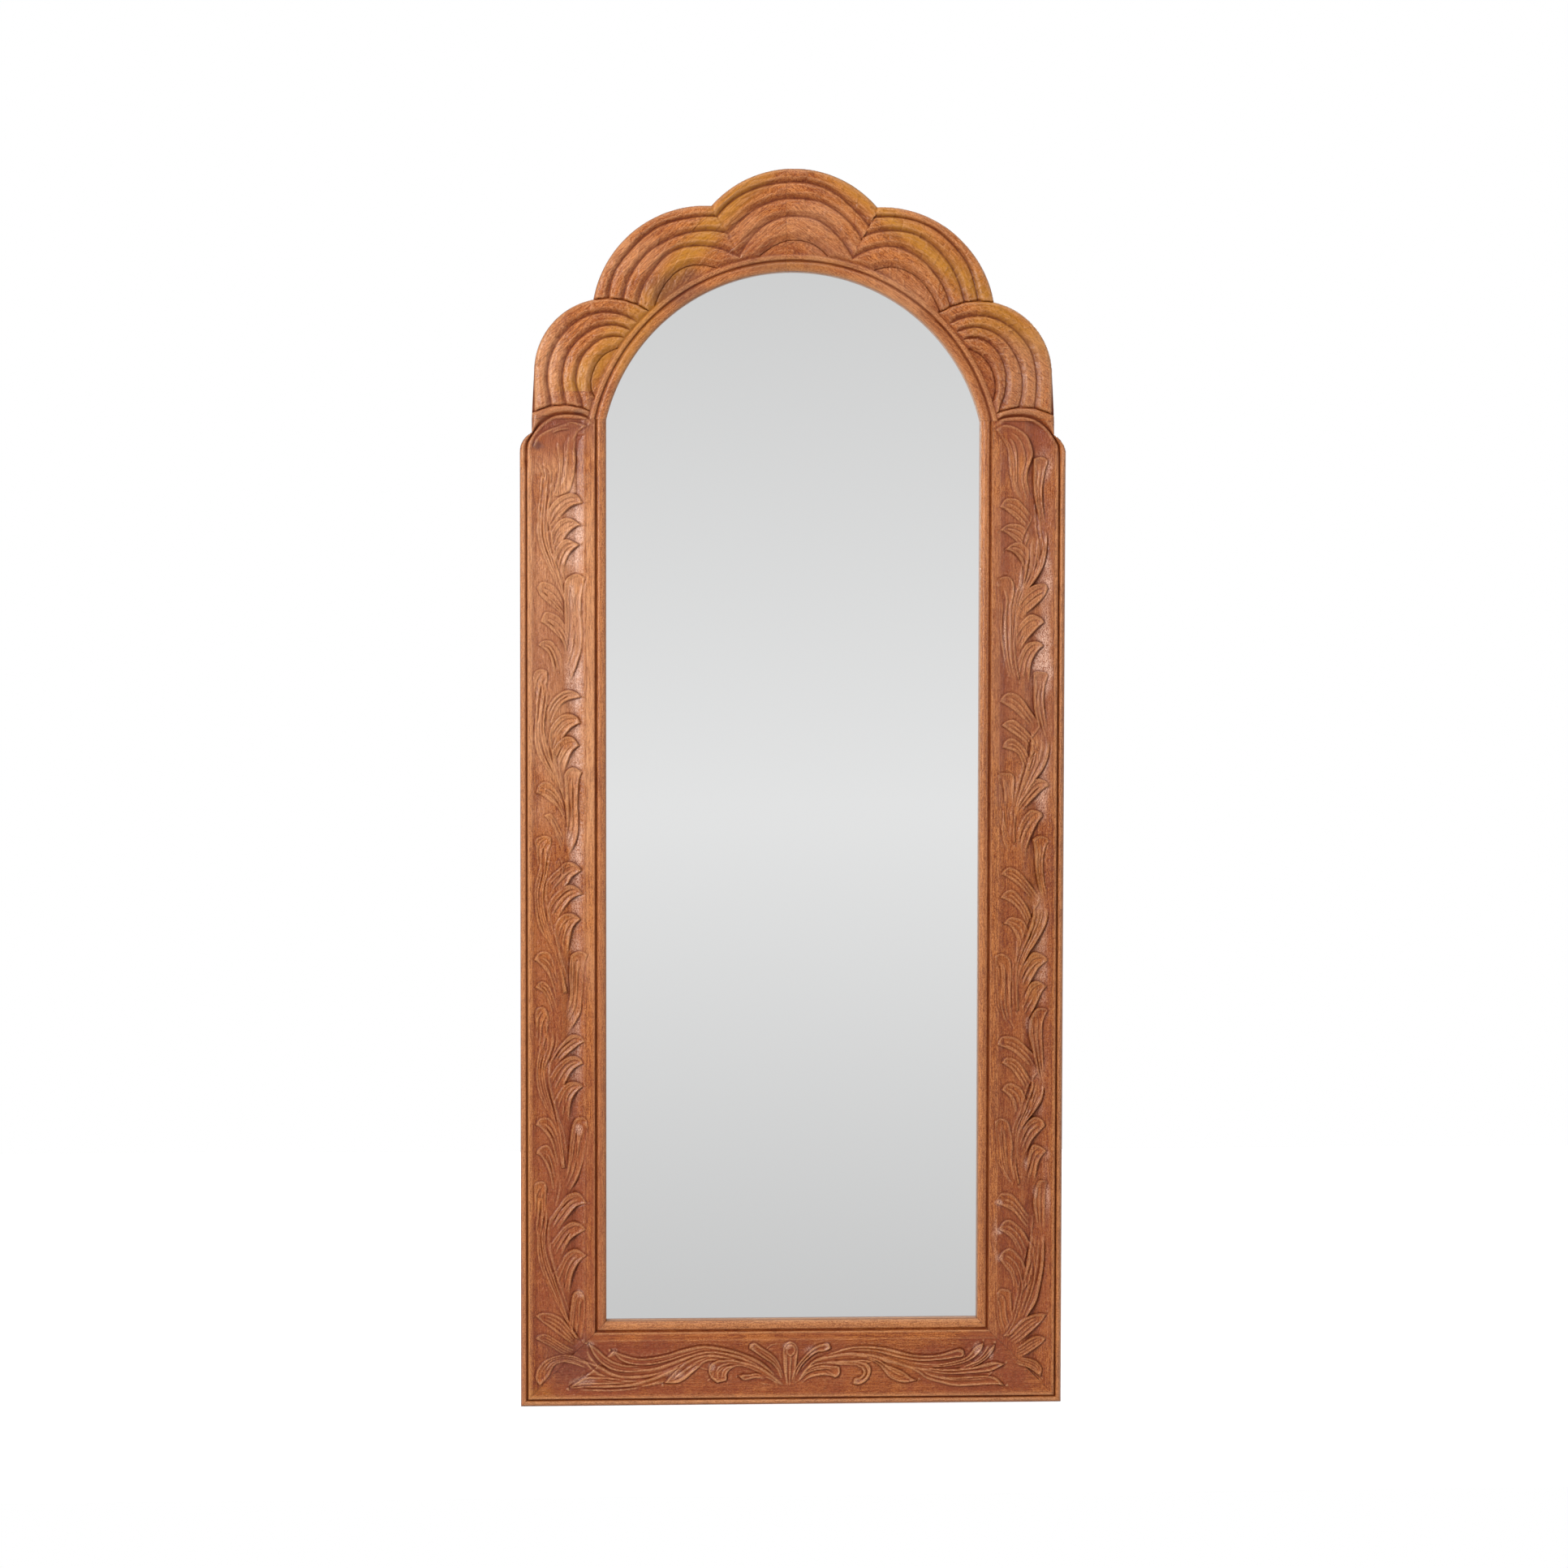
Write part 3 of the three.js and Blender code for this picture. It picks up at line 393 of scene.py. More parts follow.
        [(-371, 586), (-366, 566), (-366, 544), (-374, 498), (-372, 474)],
        [(-315, 428), (-320, 410), (-320, 380), (-322, 346)], [(-326, 400), (-328, 372), (-330, 346)],
        [(-369, 423), (-360, 410), (-352, 396), (-347, 376)], [(-370, 384), (-362, 372), (-356, 352)],
        [(-374, 332), (-373, 300), (-374, 268), (-372, 240), (-366, 214)],
        [(-368, 322), (-368, 290), (-370, 256)], [(-369, 200), (-360, 180), (-350, 158)],
        [(-314, 168), (-318, 150), (-318, 118)], [(-357, 1010), (-362, 990), (-362, 970)],
        [(-347, 820), (-342, 800), (-346, 780)], [(-350, 560), (-352, 540), (-358, 520), (-366, 504)],
        [(-346, 340), (-348, 320), (-354, 296)],
        [(-313, 1341), (-328, 1336), (-345, 1322), (-358, 1305), (-365, 1285)],
        [(-322, 1309), (-330, 1306), (-340, 1298), (-350, 1285), (-356, 1265)],
        [(-322, 1279), (-330, 1277), (-338, 1270), (-345, 1258), (-348, 1238)],
        [(-320, 1058), (-333, 1054), (-345, 1042), (-355, 1026), (-362, 1004)],
        [(-320, 1020), (-333, 1015), (-345, 1004), (-352, 990), (-358, 968)],
        [(-328, 989), (-334, 986), (-341, 979), (-347, 965), (-347, 950), (-344, 930)],
        [(-318, 800), (-333, 796), (-345, 786), (-363, 758)],
        [(-320, 770), (-333, 766), (-345, 755), (-353, 742), (-358, 728)],
        [(-325, 731), (-333, 724), (-341, 695), (-341, 670)],
        [(-318, 547), (-330, 543), (-341, 535), (-348, 525), (-354, 508)],
        [(-316, 516), (-328, 513), (-340, 503), (-355, 474)],
        [(-325, 477), (-333, 468), (-337, 455), (-337, 436)],
        [(-315, 309), (-328, 308), (-338, 300), (-348, 288), (-356, 268)],
        [(-315, 267), (-328, 262), (-336, 250), (-343, 236)],
        [(-318, 228), (-328, 220), (-335, 207), (-338, 190), (-337, 168)],
        [(-371, 1399), (-368, 1387), (-366, 1372), (-366, 1356)],
        [(-330, 1440), (-336, 1428), (-338, 1416), (-338, 1396), (-340, 1378), (-344, 1363), (-350, 1349)],
        [(-359, 1444), (-347, 1449), (-333, 1453), (-316, 1452)], [(-356, 1436), (-344, 1442), (-326, 1444)],
        [(-354, 1380), (-362, 1340), (-366, 1312)],
    ],
}
rightLeaves = {
    "stems": [
        ([(374, 1302), (376, 1285), (372, 1252), (358, 1225), (341, 1205), (334, 1185), (330, 1160),
          (329, 1130), (335, 1080)],
         [(350, 1310), (343, 1290), (341, 1272), (342, 1255), (339, 1222), (329, 1188), (325, 1135),
          (327, 1105), (333, 1078)]),
        ([(381, 995), (381, 972), (370, 944), (346, 912), (332, 879), (330, 839)],
         [(352, 1010), (352, 985), (350, 965), (345, 950), (330, 894), (327, 874), (326, 854), (327, 835)]),
        ([(381, 744), (380, 727), (374, 709), (359, 683), (351, 672), (337, 638), (336, 588)],
         [(357, 751), (355, 724), (337, 670), (332, 653), (331, 628), (332, 586)]),
        ([(376, 485), (374, 462), (368, 446), (344, 414), (337, 398), (333, 375), (335, 350), (339, 330)],
         [(358, 497), (354, 472), (342, 434), (335, 418), (331, 401), (330, 375), (332, 350), (336, 327)]),
        ([(377, 256), (376, 208), (369, 166), (364, 149), (356, 136), (339, 110), (324, 100)],
         [(357, 266), (349, 208), (340, 163), (331, 127), (324, 112), (315, 100)]),
    ],
    "head": [
        ([(354, 1343), (346, 1371), (347, 1389), (354, 1412), (347, 1436), (336, 1447), (322, 1454),
          (309, 1455), (297, 1448)],
         [(338, 1339), (329, 1350), (322, 1364), (317, 1399), (316, 1413), (312, 1426), (297, 1448)]),
    ],
    "edges": [
        [(341, 1205), (358, 1225), (372, 1252), (376, 1285), (374, 1302)],
        [(346, 912), (370, 944), (377, 957), (380, 972), (381, 992)],
        [(351, 672), (359, 683), (374, 709), (379, 724), (381, 741)],
        [(344, 414), (368, 446), (374, 462), (376, 477)],
        [(349, 124), (364, 149), (369, 166), (376, 208), (377, 254)],
        [(307, 1221), (311, 1208), (313, 1190), (310, 1150), (315, 1105), (321, 1085)],
        [(307, 938), (312, 909), (309, 854), (313, 834), (320, 821)],
        [(305, 663), (308, 648), (309, 628), (308, 608), (310, 588), (315, 572)],
        [(333, 327), (323, 340), (315, 377), (312, 418)], [(332, 700), (330, 658), (330, 614), (332, 592)],
        [(316, 1270), (326, 1265), (334, 1256), (339, 1246), (340, 1235), (338, 1210)],
        [(340, 1347), (333, 1361), (331, 1374), (331, 1407), (329, 1421), (324, 1432), (316, 1440)],
    ],
    "longLeaves": [
        ([(375, 1295), (371, 1320), (368, 1357), (372, 1386), (376, 1398), (375, 1404), (369, 1408),
          (361, 1408), (354, 1405)], [(368, 1300), (359, 1332), (354, 1365), (354, 1405)]),
        ([(380, 995), (373, 1035), (372, 1055), (374, 1072), (378, 1085), (375, 1090), (361, 1092),
          (355, 1089)], [(366, 1000), (357, 1035), (356, 1075), (355, 1089)]),
        ([(380, 737), (378, 759), (374, 779), (372, 799), (373, 819), (377, 834), (381, 839), (377, 845),
          (368, 848), (360, 846), (355, 842)], [(373, 751), (367, 764), (360, 797), (358, 829), (355, 842)]),
        ([(378, 477), (375, 497), (372, 557), (375, 576), (380, 587), (376, 591), (369, 592), (362, 590),
          (356, 583)], [(370, 477), (364, 497), (355, 535), (351, 552), (352, 570), (356, 583)]),
        ([(377, 254), (378, 315), (380, 332), (369, 334), (364, 329)],
         [(365, 266), (359, 296), (360, 310), (364, 329)]),
    ],
    "outerLeaves": [
        ([(377, 1213), (375, 1219), (369, 1222), (350, 1217), (336, 1201), (332, 1190)],
         [(377, 1213), (371, 1201), (354, 1184), (345, 1177), (336, 1167)]),
        ([(372, 1163), (368, 1170), (351, 1176), (335, 1162), (329, 1150)],
         [(372, 1163), (365, 1158), (348, 1140), (340, 1128), (334, 1114)]),
        ([(371, 1129), (368, 1133), (361, 1136), (351, 1135), (344, 1131), (337, 1120), (332, 1106),
          (329, 1090)], [(371, 1129), (363, 1122), (356, 1111), (352, 1098), (350, 1070)]),
        ([(381, 921), (377, 928), (369, 932), (361, 933), (352, 925), (338, 903), (331, 889)],
         [(381, 921), (370, 915), (340, 884), (332, 871)]),
        ([(371, 877), (369, 882), (360, 886), (350, 885), (337, 867), (329, 839)],
         [(371, 877), (362, 864), (350, 837), (347, 821), (348, 809)]),
        ([(380, 662), (375, 669), (361, 675), (353, 671), (342, 653), (338, 640)],
         [(380, 662), (370, 654), (362, 644), (343, 608)]),
        ([(379, 624), (367, 631), (358, 631), (351, 625), (340, 596)],
         [(379, 624), (371, 614), (360, 590), (348, 568)]),
        ([(377, 415), (375, 422), (369, 427), (361, 429), (354, 426), (347, 418), (337, 394)],
         [(377, 415), (363, 400), (356, 390), (346, 367)]),
        ([(379, 377), (375, 382), (358, 387), (348, 361), (342, 347)],
         [(379, 377), (371, 367), (366, 355), (362, 327)]),
    ],
    "tongues": [
        ([(335, 1069), (330, 1080), (324, 1115), (323, 1170), (324, 1190), (327, 1205), (327, 1219),
          (323, 1228), (316, 1232), (308, 1231), (301, 1227), (299, 1221)],
         [(321, 1076), (316, 1090), (305, 1140), (302, 1194), (299, 1221)]),
        ([(326, 879), (329, 925), (328, 936), (322, 941), (307, 941), (302, 937)],
         [(318, 835), (311, 847), (307, 859), (305, 879), (302, 937)]),
        ([(329, 567), (326, 588), (325, 613), (326, 638), (325, 658), (321, 667), (314, 672), (306, 673),
          (299, 669)], [(319, 563), (309, 582), (303, 603), (299, 669)]),
        ([(337, 331), (330, 350), (328, 370), (329, 386), (324, 416), (319, 424), (313, 427), (306, 427),
          (300, 422)], [(320, 331), (310, 350), (304, 370), (300, 422)]),
        ([(332, 120), (329, 137), (328, 152), (326, 168), (313, 172), (307, 169), (304, 163)],
         [(315, 100), (307, 117), (304, 140), (304, 163)]),
    ],
    "curls": [
        ([(354, 1318), (346, 1330), (338, 1339), (330, 1346), (315, 1347), (308, 1341), (304, 1333)],
         [(343, 1300), (337, 1309), (313, 1329), (304, 1333)]),
        ([(350, 1293), (344, 1301), (336, 1308), (318, 1309), (303, 1299)],
         [(338, 1272), (332, 1280), (314, 1295), (303, 1299)]),
        ([(350, 1266), (344, 1276), (336, 1282), (328, 1282), (320, 1278), (312, 1271)],
         [(339, 1236), (339, 1247), (326, 1266), (312, 1271)]),
        ([(366, 1008), (360, 1022), (351, 1035), (343, 1047), (334, 1056), (324, 1060), (315, 1059),
          (308, 1053), (305, 1046)], [(349, 1010), (341, 1019), (324, 1035), (305, 1046)]),
        ([(361, 976), (358, 988), (349, 1001), (331, 1018), (322, 1020), (314, 1017), (308, 1011)],
         [(350, 978), (342, 987), (331, 995), (308, 1011)]),
        ([(354, 954), (350, 966), (344, 977), (336, 986), (327, 992), (319, 992), (312, 986), (309, 978)],
         [(342, 940), (336, 963), (328, 972), (309, 978)]),
        ([(368, 751), (360, 766), (350, 779), (339, 792), (329, 799), (320, 801), (313, 797), (308, 790)],
         [(353, 754), (335, 773), (317, 786), (308, 790)]),
        ([(359, 713), (354, 729), (347, 745), (331, 765), (322, 768), (314, 764), (307, 755)],
         [(347, 715), (336, 735), (329, 743), (318, 751), (307, 755)]),
        ([(353, 699), (348, 713), (341, 723), (323, 727), (312, 717)],
         [(335, 680), (333, 693), (323, 712), (312, 717)]),
        ([(369, 501), (362, 518), (352, 530), (332, 547), (311, 549), (303, 536)],
         [(354, 499), (346, 509), (327, 526), (303, 536)]),
        ([(360, 473), (352, 489), (344, 502), (337, 511), (330, 516), (322, 518), (315, 516), (310, 509)],
         [(346, 469), (328, 496), (320, 503), (310, 509)]),
        ([(350, 446), (346, 461), (340, 472), (325, 480), (317, 477), (310, 469)],
         [(328, 426), (329, 441), (325, 454), (318, 463), (310, 469)]),
        ([(361, 272), (351, 284), (343, 295), (328, 313), (312, 315), (305, 309), (303, 299)],
         [(353, 256), (333, 282), (323, 290), (303, 299)]),
        ([(361, 225), (353, 244), (345, 258), (329, 273), (320, 275), (313, 271), (307, 260)],
         [(339, 221), (329, 242), (321, 251), (307, 260)]),
        ([(356, 185), (349, 203), (343, 216), (329, 231), (321, 232), (313, 227), (307, 217)],
         [(331, 163), (326, 190), (319, 201), (307, 217)]),
    ],
    "veins": [
        [(364, 1395), (360, 1385), (357, 1350), (360, 1330), (371, 1302)],
        [(370, 1290), (367, 1268), (354, 1236), (345, 1222)],
        [(350, 1273), (358, 1260), (360, 1250), (355, 1234), (347, 1220)],
        [(367, 1206), (357, 1201), (340, 1186), (335, 1178)],
        [(361, 1164), (349, 1157), (341, 1147), (335, 1136)],
        [(360, 1078), (361, 1060), (360, 1045), (363, 1025), (372, 995), (375, 980)],
        [(372, 985), (370, 965), (362, 948), (344, 915)], [(362, 980), (360, 960), (352, 940), (344, 922)],
        [(370, 923), (360, 915), (342, 892), (336, 879)], [(352, 873), (345, 862), (340, 851), (336, 839)],
        [(365, 837), (362, 824), (361, 794), (364, 774), (369, 759), (374, 751)],
        [(373, 744), (371, 724), (363, 706), (353, 686)], [(363, 739), (362, 721), (355, 703), (346, 680)],
        [(366, 663), (356, 656), (347, 646), (339, 626)], [(365, 621), (358, 610), (352, 600), (346, 592)],
        [(362, 578), (359, 559), (360, 537), (370, 487), (372, 472)],
        [(368, 477), (364, 456), (356, 438), (347, 420)], [(357, 469), (355, 451), (349, 434)],
        [(365, 421), (354, 411), (347, 401), (343, 390)], [(360, 370), (355, 357), (351, 343), (348, 327)],
        [(367, 244), (370, 218), (366, 188), (356, 157), (344, 132)],
        [(355, 232), (360, 208), (359, 183), (352, 157), (342, 134)],
        [(338, 218), (344, 198), (346, 173), (341, 147)], [(325, 218), (335, 203), (341, 181), (340, 154)],
        [(318, 648), (319, 618), (321, 598)], [(317, 924), (318, 904), (317, 879)],
        [(320, 575), (324, 567), (329, 557)],
    ],
}


# How each kind of leaf is carved: its bed's height, its rim's rise, the cut round the rim, the rim's width,
# where its lines run between its two edges, and the share of its length that fades into the wood
leafCuts = {
    "stems": {"high": 34.5, "rise": 1.2, "cut": .7, "width": 7, "veins": (.25, .5, .75), "fade": .12},
    "head": {"high": 34.7, "rise": 1.2, "cut": .9, "width": 9, "fade": .3},
    "longLeaves": {"high": 34.5, "rise": 1.7, "cut": .8, "width": 5, "fade": .3},
    "outerLeaves": {"high": 34.5, "rise": 1.7, "cut": .8, "width": 6, "fade": .4},
    "tongues": {"high": 34.4, "rise": 1.8, "cut": .8, "width": 6, "fade": .25},
    "curls": {"high": 34.6, "rise": 1.7, "cut": .8, "width": 6, "fade": .4},
    "corner": {"high": 34.6, "rise": 1.6, "cut": .8, "veins": (.25, .5, .75), "fade": .3},
}
ridgeCuts = {
    "backs": {"width": 6, "rise": 1.3, "cut": .7, "ends": (.1, .2)},
    "edges": {"width": 8, "rise": 1.4, "cut": .8, "ends": (.15, .15)},
    "strands": {"width": 5, "rise": 1.1, "cut": .7, "ends": (.25, .25)},
}
lineCut = {"width": 1.05, "depth": .9, "lift": .7}
headVeins = {"left": (), "right": (.28, .74)}
# The right stile's two strands below its head leaf, one beside the other
strand = [(363, 1352), (365, 1326), (367, 1300), (371, 1276), (373, 1252)]
# A curled leaf's back on the stem: how far apart the backs run, the first one's shift, and the gap above
backRun = {"spread": 2.5, "shift": 2, "gap": 20}
# The stile's head: where it starts and its moulding turns into band and groove; the left ground's rise, which
# drops again beside the opening's bead; and the corner between that bead and the groove
headZone = {
    "start": 1380, "blend": (1382, 1400), "rise": 1352, "riseLevel": 34.2, "riseDrop": 2.2,
    "dropAcross": (80, 84), "dropEnd": 8, "bead": 17.5, "cornerFoot": 1440, "cornerReach": 27,
    "cornerLevel": 35.2,
}


# The carving of a stile: its sunk ground, then the leaves from the lowest to the highest
def carveStile(relief, side, u):
    x, z = np.abs(relief.x), relief.z
    room, under = headRoom(x, z)
    low, high = fieldEdges
    across = (x < size["halfWidth"] - low) & (x > size["halfWidth"] - high)
    inField = across & (under | (z < headZone["start"]))
    ground = groundHeight(grounds[side], size["halfWidth"] - x, x, z)
    if side == "left":
        drop = headZone["riseDrop"] * step(u, *headZone["dropAcross"])
        raised = headZone["riseLevel"] - drop * step(headZone["cornerFoot"] - z, 0, headZone["dropEnd"])
        ground = np.where(z > headZone["rise"], np.maximum(ground, raised), ground)
    fade = np.where(z > headZone["start"], step(room, 3, 8), 1)
    relief.h = np.where(inField, relief.h * (1 - fade) + ground * fade, relief.h)
    relief.polish = np.where(inField, .3, 1.0)
    leaves = leftLeaves if side == "left" else rightLeaves
    for outer, inner in leaves["stems"]:
        relief.leaf(outer, inner, **leafCuts["stems"])
    for outer, inner in leaves["head"]:
        relief.leaf(outer, inner, **leafCuts["head"], veins=headVeins[side])
    # each curled leaf's back runs on down its stem, three leaves to a stem
    inward = 1 if side == "left" else -1
    for group, (_, inner) in enumerate(leaves["stems"]):
        for rank, (back, _) in enumerate(leaves["curls"][3 * group:3 * group + 3]):
            shift = inward * (backRun["spread"] * rank - backRun["shift"])
            follow = [(px - shift, pz) for px, pz in inner if pz < back[0][1] - backRun["gap"]]
            path = [back[2], back[1], back[0], *follow]
            relief.ridge(path if side == "left" else path[::-1], **ridgeCuts["backs"])
    for kind, order in (("longLeaves", 1), ("outerLeaves", -1), ("tongues", 1), ("curls", -1)):
        for outer, inner in leaves[kind][::order]:
            relief.leaf(outer, inner, **leafCuts[kind])
    for points in leaves["edges"]:
        relief.ridge(points, **ridgeCuts["edges"])
    if side == "right":
        for shift in (0, 6):
            relief.ridge([(px - shift, pz) for px, pz in strand[::-1]], **ridgeCuts["strands"])
    for points in leaves["veins"]:
        relief.groove(points, **lineCut)
    carveCorner(relief, -1 if side == "left" else 1)


# Places across a moulded board, close together on its beads and a grid apart between them
def acrossBoard(grid):
    beads = [(0, 9, 9, 13), (9, 12, 5, 8), (109, 113.5, 6, 11), (114.5, size["boardWidth"], 9, 13)]
    places = [np.linspace(start, end, many) for start, end, few, many in beads]
    return np.unique(np.concatenate([*places, np.arange(13, 109, grid)]))


def stileRelief(side, grid):
    xs = side * (size["halfWidth"] - acrossBoard(grid))
    relief = Relief(np.sort(xs), np.arange(-2, size["stileHeight"] + 2, grid))
    distance = size["halfWidth"] - np.abs(relief.x)
    relief.h = heightAt(section, distance)
    x, z = np.abs(relief.x), relief.z
    inside = x - size["openingHalf"]
    head = (z > headZone["start"]) & (inside > headZone["bead"])
    weight = np.where(head, step(z, *headZone["blend"]), 0)
    relief.h = relief.h * (1 - weight) + np.minimum(headHeights(x, z), size["woodDepth"]) * weight
    corner = head & (z > headZone["cornerFoot"]) & (inside < headZone["cornerReach"])
    relief.h = np.where(corner, np.maximum(relief.h, headZone["cornerLevel"]), relief.h)
    carveStile(relief, "right" if side > 0 else "left", distance)
    return relief


# The groove that follows the shoulder and runs on under the crown's collar, for the right side
headGroove = [(392.8, 1370), (392.5, 1417), (388.7, 1430.6), (378.2, 1446.4), (367, 1457), (354.2, 1464.5),
              (336.2, 1468), (313.8, 1466.4), (303, 1462.5), (292, 1455)]
# The arc of the crown's collar, and the stile's shoulder as depths below its top: start, bend and end
collar = {"x": 339.25, "z": 1390.0, "radius": 91.0}
shoulder = {"start": 49, "bend": 29.7, "end": 20}
# The band above the groove as shares of its width and heights, and the shelf by distance from the groove
bandSection = np.array([(0, 30.0), (.06, 33.2), (.18, 35.7), (.36, 37.0), (.52, 37.2), (.66, 36.4),
                        (.82, 34.0), (.93, 32.2), (1, 31.2)])
shelfSection = np.array([(0, 31.2), (.9, 32.4), (1.8, 34.6), (3.0, 35.8), (5, 36.1), (9, 36.0)])


# Distance from that groove, and whether a place is on the leaf's side of it
def headRoom(x, z):
    distance, side, _ = distanceTo(smoothPath(headGroove), x, z)
    return distance, side > 0


# The rounded band above the groove, as far as the board's edge and the collar's arc, and the shelf below it
def headHeights(x, z):
    room, under = headRoom(x, z)
    border = np.vstack([[(size["halfWidth"], 1340)], shoulderCurve(), [(size["crownHalf"], 1470)]])
    rim = distanceTo(border, x, z)[0]
    arc = np.abs(collar["radius"] - np.hypot(x - collar["x"], z - collar["z"]))
    outer = np.where(z > size["stileHeight"] + 4, np.minimum(rim, arc), np.minimum(rim, arc + 9))
    band = heightAt(bandSection, outer / np.maximum(outer + room, 1e-6))
    return np.where(under, heightAt(shelfSection, room), band)


# The edge of the stile beside its head, from the side up to the crown
def shoulderCurve(count=12):
    half, inner = size["halfWidth"], size["crownHalf"]
    start, bend, end = (size["stileHeight"] - shoulder[key] for key in ("start", "bend", "end"))
    t = np.linspace(0, 1, count)
    return np.stack([half * (1 - t) ** 2 + 2 * half * t * (1 - t) + inner * t ** 2,
                     start * (1 - t) ** 2 + 2 * bend * t * (1 - t) + end * t ** 2], -1)


# Closed boards from reliefs

# A board: the relief as its front, a flat back, cut to its outline and rebated behind the opening
def boardMesh(name, relief, outline, pockets):
    rows, cols = relief.h.shape
    front = np.stack([relief.x, size["backY"] - relief.h, relief.z], -1).reshape(-1, 3)
    ring = [(0, i) for i in range(cols)] + [(k, cols - 1) for k in range(1, rows)]
    ring += [(rows - 1, i) for i in range(cols - 2, -1, -1)] + [(k, 0) for k in range(rows - 2, 0, -1)]
    edge = np.array([k * cols + i for k, i in ring])
    back = front[edge].copy()
    back[:, 1] = size["backY"]
    vertices = np.vstack([front, back]) / 1000
    k, i = np.mgrid[0:rows - 1, 0:cols - 1]
    corner = (k * cols + i).ravel()
    quads = np.stack([corner, corner + 1, corner + cols + 1, corner + cols], -1)
    around = np.arange(len(edge))
    following = (around + 1) % len(edge)
    base = rows * cols
    walls = np.stack([edge[around], base + around, base + following, edge[following]], -1)
    faces = [*quads.tolist(), *walls.tolist(), (base + around)[::-1].tolist()]
    mesh = bpy.data.meshes.new(name)
    mesh.from_pydata(vertices.tolist(), [], faces)
    mesh.update()
    obj = newObject(name, mesh)
    booleanCut(obj, prism(outline, -10, 60), "INTERSECT")
    for pocket, height in pockets:
        booleanCut(obj, prism(pocket, -10, height), "DIFFERENCE")
    return obj


# A closed solid between two rings of points in millimetres
def closedPrism(name, rings):
    bm = bmesh.new()
    first, last = [[bm.verts.new([value / 1000 for value in point]) for point in ring] for ring in rings]
    bm.faces.new(first)
    bm.faces.new(last[::-1])
    for i in range(len(first)):
        j = (i + 1) % len(first)
        bm.faces.new((first[i], last[i], last[j], first[j]))
    bmesh.ops.recalc_face_normals(bm, faces=bm.faces)
    mesh = bpy.data.meshes.new(name)
    bm.to_mesh(mesh)
    bm.free()
    return newObject(name, mesh)


# A prism over an [x, z] outline, between two heights above the wood's back face
def prism(outline, fromHeight, toHeight):
    heights = (fromHeight, toHeight)
    return closedPrism("cutter", [[(x, size["backY"] - height, z) for x, z in outline] for height in heights])


# A prism along x over a [y, z] outline
def barAlongX(name, outline, low, high):
    return closedPrism(name, [[(x, y, z) for y, z in outline] for x in (low, high)])


def booleanCut(obj, cutter, operation):
    modifier = obj.modifiers.new("cut", "BOOLEAN")
    modifier.operation = operation
    modifier.solver = "MANIFOLD"
    modifier.object = cutter
    applyModifiers(obj)
    bpy.data.objects.remove(cutter)


def applyModifiers(obj):
    evaluated = obj.evaluated_get(bpy.context.evaluated_depsgraph_get())
    mesh = bpy.data.meshes.new_from_object(evaluated)
    obj.modifiers.clear()
    old = obj.data
    obj.data = mesh
    bpy.data.meshes.remove(old)


# Smooth faces, with an edge kept sharp where it turns by more than some degrees
def sharpen(obj, degrees=35):
    bm = bmesh.new()
    bm.from_mesh(obj.data)
    for face in bm.faces:
        face.smooth = True
    for edge in bm.edges:
        edge.smooth = edge.calc_face_angle(0) < math.radians(degrees)
    bm.to_mesh(obj.data)
    bm.free()


# The opening's outline, widened by a margin
def archOutline(margin):
    radius = arch["radius"] + margin
    half = math.sqrt(radius ** 2 - arch["drop"] ** 2)
    spring = math.asin(arch["drop"] / radius)
    low = size["boardWidth"] - margin
    points = [(-half, low), (half, low)]
    for angle in np.linspace(spring, math.pi - spring, 90):
        points.append((radius * math.cos(angle), arch["z"] + radius * math.sin(angle)))
    return points


# How far each rebate reaches past the opening, and how deep it is: the back panel's, then the glass's
rebateSizes = [(31.5, 16.0), (10, 20.6)]
rebates = [(archOutline(margin), height) for margin, height in rebateSizes]


def stileOutline(side):
    half, inner, width = size["halfWidth"], size["openingHalf"], size["boardWidth"]
    top = size["stileHeight"]
    gap = size["gap"] * math.sqrt(2)
    points = [(half, gap), *shoulderCurve(9).tolist(), (size["crownHalf"], top), (inner, top)]
    return [(side * x, z) for x, z in [*points, (inner, width + gap)]]


def railOutline():
    half, inner, width = size["halfWidth"], size["openingHalf"], size["boardWidth"]
    return [(-half, 0), (half, 0), (inner, width), (-inner, width)]


